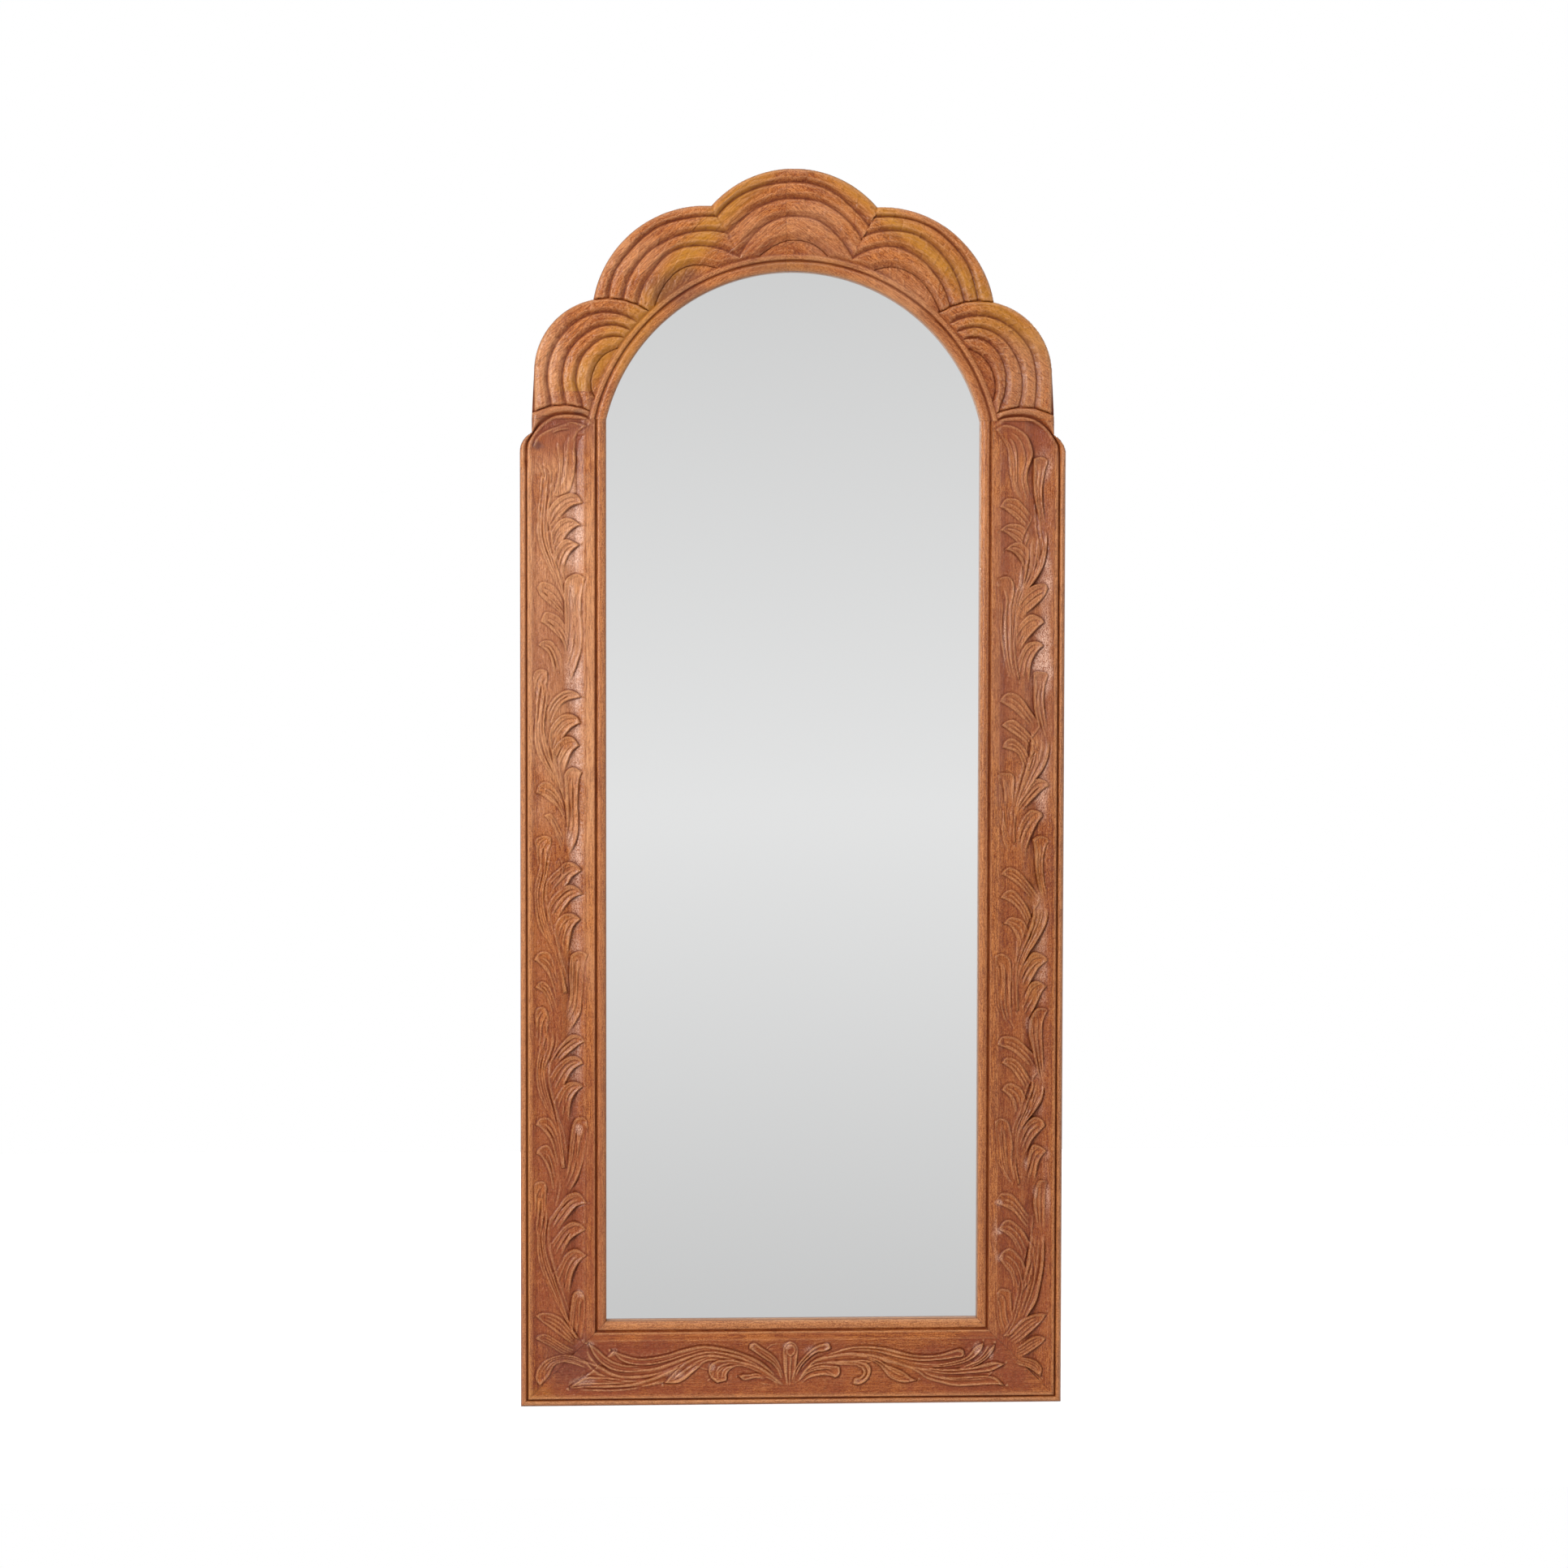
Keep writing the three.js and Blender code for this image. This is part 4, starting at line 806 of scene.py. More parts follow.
# The rail's carving on both sides of its middle: broad leaves under the rest as (upper edge, lower edge),
# long ridges as (points, width, rise), leaves as (outer edge, inner edge), and fine lines; then the leaf in
# its middle with its bud
railLeft = {
    "masses": [
        ([(-11, 28), (-43, 63), (-69, 76), (-102, 86), (-133, 90), (-164, 84), (-188, 76), (-216, 71),
          (-246, 73), (-266, 83)],
         [(-14, 27), (-40, 42), (-66, 55), (-90, 60), (-118, 66), (-142, 60), (-165, 48), (-190, 34),
          (-222, 29), (-300, 27), (-330, 29), (-302, 50), (-266, 83)]),
    ],
    "ridges": [
        ([(-11, 28), (-18, 39), (-43, 63), (-69, 76), (-102, 86), (-133, 90), (-164, 84), (-188, 76),
          (-216, 71), (-246, 73), (-265, 84)], 9, 1.5),
        ([(-14, 27), (-30, 46), (-56, 64), (-84, 76), (-112, 81), (-132, 81), (-157, 74), (-204, 58),
          (-228, 57), (-251, 63), (-268, 75)], 8, 1.3),
        ([(-60, 60), (-90, 71), (-118, 77), (-145, 72), (-198, 51), (-240, 46), (-262, 49), (-286, 62),
          (-300, 78), (-303, 94)], 8, 1.4),
        ([(-120, 74), (-150, 66), (-176, 56), (-200, 45), (-222, 40), (-250, 40), (-276, 46), (-296, 58),
          (-312, 76)], 7, 1.2),
        ([(-165, 62), (-212, 42), (-233, 36), (-258, 33), (-285, 35), (-310, 38), (-330, 29)], 7, 1.4),
        ([(-190, 42), (-215, 33), (-240, 28), (-270, 26), (-322, 28)], 5, 1),
        ([(-14, 30), (-25, 42), (-40, 53), (-60, 62), (-78, 67), (-96, 69), (-110, 67), (-120, 60)], 6, 1.1),
        ([(-18, 29), (-26, 37), (-40, 44), (-54, 46), (-74, 40)], 5, 1.1),
        ([(-270, 56), (-318, 72), (-340, 76), (-356, 72)], 6, 1),
    ],
    "leaves": [
        ([(-118, 78), (-138, 75), (-157, 67), (-174, 53), (-184, 41), (-191, 34)],
         [(-119, 70), (-133, 61), (-160, 38), (-174, 33), (-191, 34)]),
        ([(-76, 66), (-95, 69), (-110, 68), (-121, 62), (-125, 52), (-121, 41), (-112, 33)],
         [(-72, 58), (-84, 57), (-93, 52), (-97, 45), (-97, 37), (-112, 33)]),
        ([(-196, 58), (-222, 52), (-246, 50), (-268, 54), (-284, 64), (-296, 78), (-303, 95)],
         [(-196, 66), (-222, 62), (-246, 62), (-264, 67), (-278, 76), (-291, 88), (-303, 95)]),
        ([(-160, 76), (-186, 66), (-214, 61), (-238, 62), (-256, 69), (-268, 84)],
         [(-160, 84), (-186, 77), (-214, 72), (-236, 73), (-268, 84)]),
        ([(-230, 44), (-256, 42), (-284, 44), (-306, 44), (-331, 29)],
         [(-230, 36), (-256, 33), (-308, 32), (-331, 29)]),
        ([(-36, 44), (-52, 48), (-64, 46), (-73, 46), (-80, 44)],
         [(-40, 38), (-54, 40), (-72, 37), (-80, 44)]),
        ([(-9, 34), (-22, 68), (-47, 88), (-56, 94), (-64, 90), (-64, 84)],
         [(-14, 34), (-20, 48), (-28, 59), (-39, 67), (-64, 84)]),
    ],
    "lines": [
        [(-14, 32), (-36, 54), (-62, 70), (-100, 80), (-132, 85), (-160, 78), (-190, 69), (-218, 63),
         (-246, 66)],
        [(-90, 64), (-118, 71), (-142, 64), (-166, 51), (-182, 40)],
        [(-128, 66), (-148, 54), (-166, 42), (-184, 36)], [(-226, 33), (-252, 36), (-286, 42), (-306, 46)],
        [(-86, 60), (-102, 58), (-112, 50), (-112, 40), (-106, 34)],
        [(-12, 40), (-22, 58), (-36, 70), (-52, 80)], [(-8, 34), (-16, 54), (-28, 70), (-44, 82)],
        [(-40, 80), (-30, 88), (-20, 90)], [(-150, 58), (-120, 48), (-132, 34)],
        [(-50, 34), (-44, 30), (-30, 28)],
    ],
}
railRight = {
    "masses": [
        ([(7, 36), (25, 60), (38, 70), (66, 80), (78, 84), (107, 87.5), (150, 82), (180, 73.5), (215, 73),
          (240, 79.5), (250, 82), (256, 80)],
         [(3, 30), (15, 38), (48, 54), (66, 58), (102, 58), (118, 62), (136, 62), (163, 57), (178, 52),
          (201, 37), (218, 31), (244, 27), (272, 28), (300, 46), (280, 58), (262, 66), (256, 80)]),
    ],
    "ridges": [
        ([(7, 39), (19, 55), (36, 69), (58, 74), (80, 78), (106, 77), (128, 73), (170, 58)], 8, 1.3),
        ([(8, 41), (20, 54), (42, 63.5), (100, 67), (118, 66)], 6, 1.1),
        ([(130, 76), (172, 59), (196, 54), (222, 53)], 7, 1.2),
        ([(150, 66), (189, 50), (202, 40), (222, 35), (246, 34), (292, 38)], 6, 1.2),
        ([(238, 50), (258, 56), (281, 71), (293, 89)], 5, 1.1),
        ([(226, 31), (250, 29), (274, 30.5), (292, 30), (306, 28)], 5, 0.9),
    ],
    "leaves": [
        ([(184, 56), (200, 49), (222, 44), (246, 43), (290, 46), (304, 50), (318, 58)],
         [(184, 58), (222, 52), (246, 52), (270, 55), (290, 60), (304, 62), (318, 58)]),
        ([(186, 53), (200, 39), (218, 31), (240, 25.5), (262, 25), (303, 27), (318, 25)],
         [(186, 55), (202, 46), (222, 41), (246, 40), (272, 41), (294, 41), (306, 37), (318, 25)]),
        ([(250, 48), (270, 54), (283, 60), (294, 69), (301, 79), (303, 88)],
         [(248, 54), (275, 63), (286, 71), (294, 80), (303, 88)]),
        ([(176, 57), (198, 54), (222, 54), (244, 57), (262, 62), (276, 71), (284, 81), (286, 91)],
         [(176, 63), (198, 60), (222, 60), (254, 67), (265, 75), (274, 85), (286, 91)]),
        ([(66, 79), (78, 84), (92, 86.5), (107, 87.5), (136, 85), (180, 74), (215, 73), (240, 79.5),
          (250, 82), (256, 80)],
         [(60, 72), (75, 77), (90, 79), (121, 78), (165, 67), (195, 63), (229, 65), (243, 67.5), (254, 69),
          (257, 74), (256, 80)]),
        ([(95, 72), (107, 72), (120, 69.5), (132, 64.6), (143, 58), (163, 50), (178, 39), (187, 34.5)],
         [(78, 69), (107, 67.5), (121, 63), (131, 56), (145, 39), (166, 31), (187, 34.5)]),
        ([(78, 64), (104, 63.5), (113, 60.5), (118, 54), (117.5, 46), (114, 38), (108, 32), (99, 28.5),
          (90, 30.5)], [(78, 60), (90, 59), (100, 55), (105, 50), (105, 44), (99, 40), (93, 39), (90, 30.5)]),
        ([(7, 37), (15, 47), (25, 54), (35, 58), (47, 59.5), (67, 58), (71.5, 54), (72, 47), (69, 42),
          (64, 39)], [(12, 26), (22, 37), (40, 42.5), (58, 42), (64, 39)]),
        ([(-3, 26), (0, 45), (10, 63.5), (32, 86), (50, 92), (56, 90), (58, 84)],
         [(3, 28), (7, 43), (16, 60), (31, 74), (40, 78), (49, 79), (58, 84)]),
    ],
    "lines": [
        [(142, 47), (149, 40), (160, 36.5), (178, 36)], [(110, 69), (130, 62), (150, 52), (180, 37)],
        [(49, 49), (57, 45), (64, 41)], [(14, 40), (30, 49), (48, 52), (66, 51)],
        [(92, 58), (104, 57), (111, 50), (109, 41), (98, 34)], [(204, 65), (219, 64.5), (236, 66), (248, 70)],
        [(70, 78), (90, 82), (118, 82), (148, 80), (176, 71), (210, 69.5), (238, 74)],
        [(286, 50), (298, 55), (312, 58)], [(230, 37), (256, 36), (284, 38), (303, 36)],
        [(6, 40), (16, 58), (30, 72), (44, 82)],
    ],
}
railMiddle = {
    "middle": ([(-8, 24), (-12, 45), (-14, 68), (-14, 82), (-10, 92), (-3, 96)],
               [(2, 24), (5, 45), (8, 68), (9, 82), (5, 92), (-3, 96)]),
    "bud": ([(-2, 71), (-9, 76), (-10, 84), (-6, 90), (-2, 91)],
            [(-2, 71), (4, 76), (6, 84), (2, 90), (-2, 91)]),
}
cornerLeaves = {
    -1: [
        ([(-296, 62), (-318, 74), (-336, 78), (-352, 76), (-366, 70), (-376, 60), (-381, 48), (-380, 38),
          (-374, 31)], [(-298, 54), (-320, 62), (-338, 66), (-350, 63), (-356, 55), (-360, 46), (-374, 31)]),
        ([(-382, 102), (-374, 108), (-362, 108), (-334, 90), (-318, 82)],
         [(-382, 102), (-356, 88), (-344, 80), (-330, 74)]),
        ([(-381, 136), (-372, 141), (-358, 140), (-344, 134), (-334, 124), (-314, 96)],
         [(-381, 136), (-372, 127), (-334, 98), (-320, 90)]),
    ],
    1: [
        ([(380, 133), (369, 134), (347, 128), (336, 119), (316, 96)],
         [(380, 133), (372, 120), (350, 99), (336, 89), (326, 85)]),
        ([(380, 97), (369, 100), (356, 97), (332, 80)], [(380, 97), (372, 87), (349, 71), (336, 67)]),
        ([(371, 38), (374, 49), (370, 58), (362, 64), (350, 67), (336, 67)],
         [(371, 38), (360, 47), (349, 53), (339, 56), (330, 63)]),
    ],
}


def carveCorner(relief, side):
    for outer, inner in cornerLeaves[side][::-1]:
        relief.leaf(outer, inner, **leafCuts["corner"])


railCuts = {
    "masses": {"high": 34.6, "rise": 1.0, "cut": .6, "veins": (), "fade": .02},
    "leaves": {"high": 34.8, "rise": 2.2, "cut": 1.2, "fade": .4, "curl": 1.8},
    "middle": {"high": 35.2, "rise": 1.1, "cut": .6, "fade": .4},
    "bud": {"high": 35.2, "rise": 1.2, "cut": .8, "width": 5, "veins": (), "fade": .02},
    "lines": {"width": .9, "depth": .7, "lift": .5},
}
railVeins = {"left": (.36, .66), "right": (.5,)}
# How much wider and higher than listed each long ridge is carved, and the cut beside it
railRidge = {"wider": 1.3, "higher": 1.6, "cut": .9}


def railRelief(grid):
    reach = size["halfWidth"] + .5
    relief = Relief(np.arange(-reach, reach + .1, grid), acrossBoard(grid))
    relief.h = heightAt(section, relief.z)
    low, high = fieldEdges
    inField = (relief.z > low) & (relief.z < high)
    relief.h = np.where(inField, groundHeight(grounds["rail"], relief.z, relief.x, relief.z), relief.h)
    relief.polish = np.where(inField, .4, 1.0)
    for side, carved in (("left", railLeft), ("right", railRight)):
        for upper, lower in carved["masses"]:
            relief.leaf(upper, lower, **railCuts["masses"])
        for points, width, rise in carved["ridges"]:
            path = points if side == "left" else points[::-1]
            relief.ridge(path, width * railRidge["wider"], rise * railRidge["higher"], railRidge["cut"])
        for outer, inner in carved["leaves"]:
            relief.leaf(outer, inner, **railCuts["leaves"], veins=railVeins[side])
        for points in carved["lines"]:
            relief.groove(points, **railCuts["lines"])
    for name, (outer, inner) in railMiddle.items():
        relief.leaf(outer, inner, **railCuts[name])
    for side in (-1, 1):
        carveCorner(relief, side)
    return relief


# The crown: scalloped lobes, each with a rim and three rounded ribs round a sunk half-moon. A lobe's circle
# is its middle x, z and radius. Its lines are the grooves inside its rim and its ribs, from the outside in.
lobeCircles = {
    "left": (-273.5, 1529.0, 108.0), "midLeft": (-129.4, 1605.1, 167.9), "centre": (0, 1665.9, 162.1),
    "midRight": (129.4, 1605.1, 167.9), "right": (273.5, 1529.0, 108.0),
}
grooveLines = {
    "centre": [
        [(-119, 1750), (-100, 1772), (-75, 1790), (-40, 1803), (0, 1808), (32, 1804), (65, 1788), (93, 1763),
         (114, 1740)],
        [(-106, 1722), (-95, 1735), (-62, 1765), (-30, 1780), (0, 1784), (38, 1779), (70, 1760), (92, 1737),
         (104, 1715)],
        [(-86, 1690), (-80, 1702), (-60, 1730), (-40, 1747), (-18, 1756), (2, 1758), (30, 1754), (52, 1741),
         (75, 1716), (90, 1690)],
        [(-64, 1686), (-55, 1697), (-40, 1709), (-20, 1720), (0, 1724), (20, 1721), (36, 1713), (50, 1700),
         (60, 1686)],
    ],
    "midLeft": [
        [(-272, 1612), (-273, 1630), (-266, 1668), (-246, 1700), (-216, 1730), (-188, 1746), (-150, 1755),
         (-114, 1757), (-90, 1752)],
        [(-252, 1612), (-251, 1635), (-242, 1666), (-222, 1696), (-198, 1715), (-165, 1730), (-130, 1736),
         (-96, 1732), (-70, 1720)],
        [(-229, 1606), (-229, 1630), (-221, 1655), (-205, 1680), (-189, 1698), (-168, 1710), (-140, 1714),
         (-110, 1710), (-84, 1700), (-60, 1688)],
        [(-211, 1604), (-207, 1620), (-200, 1640), (-190, 1658), (-178, 1672), (-165, 1681), (-150, 1686),
         (-130, 1686), (-112, 1682), (-90, 1684), (-60, 1690)],
    ],
    "midRight": [
        [(90, 1752), (116, 1757), (148, 1758), (180, 1752), (212, 1737), (238, 1713), (256, 1688),
         (266, 1658), (271, 1632), (271, 1612)],
        [(72, 1712), (98, 1727), (122, 1736), (150, 1738), (180, 1732), (205, 1716), (227, 1692), (242, 1664),
         (251, 1632), (252, 1612)],
        [(66, 1682), (90, 1700), (114, 1711), (140, 1715), (165, 1709), (190, 1694), (209, 1673), (223, 1649),
         (231, 1622), (232, 1604)],
        [(80, 1670), (130, 1684), (150, 1685), (170, 1678), (186, 1667), (200, 1650), (211, 1630),
         (219, 1610), (222, 1596)],
    ],
    "left": [
        [(-352, 1450), (-357, 1487), (-362, 1518), (-358, 1548), (-346, 1574), (-326, 1597), (-302, 1611),
         (-278, 1616), (-255, 1613), (-238, 1606), (-215, 1592)],
        [(-330, 1450), (-335, 1485), (-340, 1515), (-336, 1545), (-324, 1567), (-305, 1585), (-285, 1595),
         (-260, 1597), (-237, 1588), (-215, 1576)],
        [(-306, 1450), (-312, 1488), (-320, 1515), (-314, 1545), (-302, 1562), (-285, 1576), (-265, 1581),
         (-243, 1577), (-220, 1566)],
        [(-284, 1462), (-290, 1486), (-297, 1500), (-299, 1516), (-293, 1536), (-283, 1551), (-270, 1560),
         (-240, 1571), (-220, 1574)],
    ],
    "right": [
        [(214, 1592), (232, 1604), (252, 1612), (280, 1614), (306, 1606), (330, 1589), (348, 1566),
         (356, 1540), (358, 1510), (352, 1450)],
        [(214, 1578), (238, 1590), (256, 1596), (275, 1597), (300, 1587), (318, 1570), (331, 1547),
         (337, 1522), (336, 1498), (332, 1482), (326, 1450)],
        [(220, 1566), (243, 1577), (262, 1582), (280, 1579), (297, 1566), (309, 1545), (313, 1520),
         (310, 1496), (304, 1480), (298, 1450)],
        [(226, 1566), (250, 1568), (267, 1563), (283, 1551), (294, 1532), (298, 1512), (295, 1492),
         (282, 1456)],
    ],
}
# The valleys between the middle lobe and its neighbours
valleyLines = {
    -1: [(-124, 1860), (-121, 1771), (-113, 1755), (-103, 1740), (-93, 1722), (-66, 1670)],
    1: [(124, 1860), (122, 1773), (116, 1756), (108, 1740), (98, 1722), (86, 1697), (74, 1670)],
}
# Sections of a rib and of the rim, from its outer side to its inner one as a share of its width, and heights
ribSection = np.array([(0, 33.2), (.03, 34.1), (.08, 35.1), (.18, 35.9), (.32, 36.7), (.50, 37.3),
                       (.62, 37.5), (.68, 37.1), (.74, 36.4), (.95, 33.6), (1, 33.2)])
rimSection = np.array([(0, 29.8), (.02, 31.8), (.05, 33.8), (.10, 35.3), (.20, 36.5), (.38, 37.3),
                       (.56, 37.6), (.64, 37.5), (.70, 37.0), (.76, 36.3), (.95, 33.6), (1, 33.2)])
# painted shade across a rib or the rim, from its outer side to its inner one, darkest in the grooves and on
# the inner fall
ribShade = np.array([(0, .75), (.03, .35), (.06, 0), (.62, 0), (.72, .5), (.96, .68), (1, .75)])
# The moulding round the arched head of the opening, by distance from the arch's edge
archSection = np.array([(0, 29.4), (.8, 31.4), (2.5, 33.4), (5, 34.6), (8, 34.9), (11, 34.4), (13.4, 33.2),
                        (14.6, 32.0), (15.6, 31.2), (16.6, 32.2), (17.6, 34.2), (19, 34.9), (22.4, 34.8),
                        (23.8, 34.0), (24.8, 33.0), (26, 33.4), (29, 35.4), (34, 37.6), (35, 60), (60, 60)])
moonHeight, valley = 32.6, 33.2


# A lobe's heights, where it is, and its painted shade, darkest in its grooves and on its ribs' inner falls
def lobeHeights(name, x, z):
    cx, cz, radius = lobeCircles[name]
    # below its middle, a small lobe's outer side runs straight down
    straight = (z < cz) & (np.abs(x) > abs(cx)) & (name in ("left", "right"))
    out = radius - np.hypot(x - cx, np.where(straight, 0, z - cz))
    paths = [smoothPath(line, 3) for line in grooveLines[name]]
    inner = []
    distances = [np.maximum(out, 0)]
    far = max(path[-1][0] for path in paths) if cx < 0 else min(path[0][0] for path in paths)
    floorZ = 1300  # below the crown
    for path in paths:
        foot = [(path[-1][0], floorZ), (path[0][0], floorZ)]
        if cx < 0:
            foot = [(far, path[-1][1]), (far, floorZ), foot[1]]
        elif cx > 0:
            foot = [foot[0], (far, floorZ), (far, path[0][1])]
        inner.append(insideOf(np.vstack([path, foot]), x, z))
        distances.append(distanceTo(path, x, z)[0])
    h = np.full(x.shape, moonHeight) + .25 * noiseField(x, z, 2.6, 3) + .15 * noiseField(x, z, 1.3, 4)
    h -= bell(distances[-1], 1.6, 1.1)
    shade = np.full(x.shape, .12)
    turn = np.arctan2(z - cz, x - cx) * radius
    for i in range(len(paths) - 1, -1, -1):
        width = distances[i] + distances[i + 1]
        s = distances[i] / np.maximum(width, 1e-6)
        # the gouge's fine lines run along each rib
        lined = (.26 * noiseField(distances[i + 1] * 8, turn * .7, 16, 31 + i)
                 + .14 * noiseField(distances[i + 1] * 17, turn, 16, 41 + i))
        lined = lined * step(s, 0, .2) * step(1 - s, 0, .2)
        height = heightAt(rimSection if i == 0 else ribSection, s)
        if i > 0:  # a rib gets lower where it narrows to nothing
            height = valley + (height - valley) * step(width, 1, 9)
        h = np.where(inner[i], h, height + lined)
        shade = np.where(inner[i], shade, heightAt(ribShade, s))
    return h, out > 0, shade


# Where the small lobes start, the middle valleys and the stile's head end, and the grain of each half
crownPlaces = {"smallLobes": 205, "valleyFoot": 1694, "headTop": 1500}
grainRun = {"left": (.755, .656), "right": (.8, -.6)}
# Chisel facets: rows round the crown's foot, cells that turn round a place in each half, steps and tilts
facet = {"count": 64, "x": 190, "z": 1560, "perTurn": 12, "lean": 37, "first": 40, "foot": 1500, "row": 7.5,
         "step": .30, "tilt": .8}


def crownRelief(grid):
    reach = size["crownHalf"] + 3
    relief = Relief(np.arange(-reach, reach + .1, grid), np.arange(size["stileHeight"] - 4, 1830.1, grid))
    x, z = relief.x, relief.z
    heights = {name: lobeHeights(name, x, z) for name in lobeCircles}
    left, right = (smoothPath(valleyLines[side], 3) for side in (-1, 1))
    between = insideOf(np.vstack([left, right[::-1]]), x, z)
    h, shade = (np.where(x < 0, heights["midLeft"][k], heights["midRight"][k]) for k in (0, 2))
    h, shade = np.where(between, heights["centre"][0], h), np.where(between, heights["centre"][2], shade)
    edge = np.minimum(distanceTo(left, x, z)[0], distanceTo(right, x, z)[0])
    h = np.where(z > crownPlaces["valleyFoot"], h - bell(edge, .6, 2.2), h)
    for name, side in (("left", -1), ("right", 1)):
        lobe, inside, lobeShade = heights[name]
        cx, cz, radius = lobeCircles[name]
        d = radius - np.hypot(x - cx, z - cz)
        inside = inside & (side * x > crownPlaces["smallLobes"])
        below = (side * x > abs(cx)) & (z < cz)
        d = np.where(below, size["crownHalf"] - side * x - 3.5, d)
        h, shade = np.where(inside | below, lobe, h), np.where(inside | below, lobeShade, shade)
        h -= np.where(~(inside | below), bell(np.minimum(d, 0), 1.8), 0)
    # chisel facets, a little stepped along the grain of each half
    onLeft = x < size["seamX"]
    ux, uz = (np.where(onLeft, grainRun["left"][k], grainRun["right"][k]) for k in (0, 1))
    h += (.30 * noiseField((x * ux + z * uz) * .35, z * ux - x * uz, 5.0, 1) + .20 * noiseField(x, z, 8.5, 3)
          + .12 * noiseField(x, z, 2.2, 2))
    count = facet["count"]
    facets = rng.uniform(-1, 1, (2, count, count))
    turn = np.arctan2(z - facet["z"], x - np.where(x < 0, -facet["x"], facet["x"]))
    around = (turn * facet["perTurn"] + z / facet["lean"] + facet["first"]) % (count - 1)
    row = (np.hypot(x, z - facet["foot"]) / facet["row"]).astype(int) % count
    cell = around.astype(int)
    h += facets[0][row, cell] * facet["step"] + facets[1][row, cell] * facet["tilt"] * (around - cell - .5)
    reach = np.hypot(np.abs(x) - collar["x"], z - collar["z"]) - collar["radius"]
    low = z < crownPlaces["headTop"]
    h = np.where(low & (reach < 0), headHeights(np.abs(x), z), h)
    h -= np.where(low & (reach >= 0), bell(reach, 2.0), 0)
    fromArch = np.hypot(x, z - arch["z"]) - arch["radius"]
    moulding = heightAt(archSection, fromArch)
    relief.h = np.where(fromArch < 25.4, moulding, np.minimum(h, moulding))
    relief.shade = np.where((fromArch > 27) & (reach > 0), shade, .1)
    return relief


# The crown's whole outline from its circles, and the corners where they meet, from the right to the left
def crownOutline():
    foot = size["stileHeight"] + size["gap"]
    points = [(-size["crownHalf"], foot), (size["crownHalf"], foot)]
    circles = list(lobeCircles.values())[::-1]
    corners = [(circles[0][0] + circles[0][2], circles[0][1])]
    for (ax, az, ar), (bx, bz, br) in zip(circles[:-1], circles[1:]):
        apart = math.hypot(bx - ax, bz - az)
        along = (ar ** 2 - br ** 2 + apart ** 2) / (2 * apart)
        off = math.sqrt(ar ** 2 - along ** 2)
        ux, uz = (bx - ax) / apart, (bz - az) / apart
        choices = [(ax + along * ux - s * off * uz, az + along * uz + s * off * ux) for s in (-1, 1)]
        corners.append(max(choices, key=lambda place: place[1]))
    corners.append((circles[-1][0] - circles[-1][2], circles[-1][1]))
    for (cx, cz, radius), start, end in zip(circles, corners[:-1], corners[1:]):
        first, last = (math.atan2(place[1] - cz, place[0] - cx) for place in (start, end))
        last += 2 * math.pi if last < first else 0
        angles = np.linspace(first, last, 40)[:-1]
        points += [(cx + radius * math.cos(angle), cz + radius * math.sin(angle)) for angle in angles]
    points.append(corners[-1])
    return points, corners


# A large outline to the left of the line from start to end, set back by an offset
def halfPlane(start, end, offset, reach=2500):
    (ax, az), (bx, bz) = start, end
    length = math.hypot(bx - ax, bz - az)
    ux, uz = (bx - ax) / length, (bz - az) / length
    corners = [(-reach, 0), (reach, 0), (reach, reach), (-reach, reach)]
    return [(ax + ux * s - uz * (t + offset), az + uz * s + ux * (t + offset)) for s, t in corners]


# A box blur, twice, along both directions
def blurred(values, radius):
    width = 2 * radius + 1
    for axis in (0, 1, 0, 1):
        margins = [(radius + 1, radius) if a == axis else (0, 0) for a in (0, 1)]
        total = np.cumsum(np.pad(values, margins, mode="edge"), axis=axis)
        places = np.arange(values.shape[axis])
        values = (np.take(total, places + width, axis=axis) - np.take(total, places, axis=axis)) / width
    return values
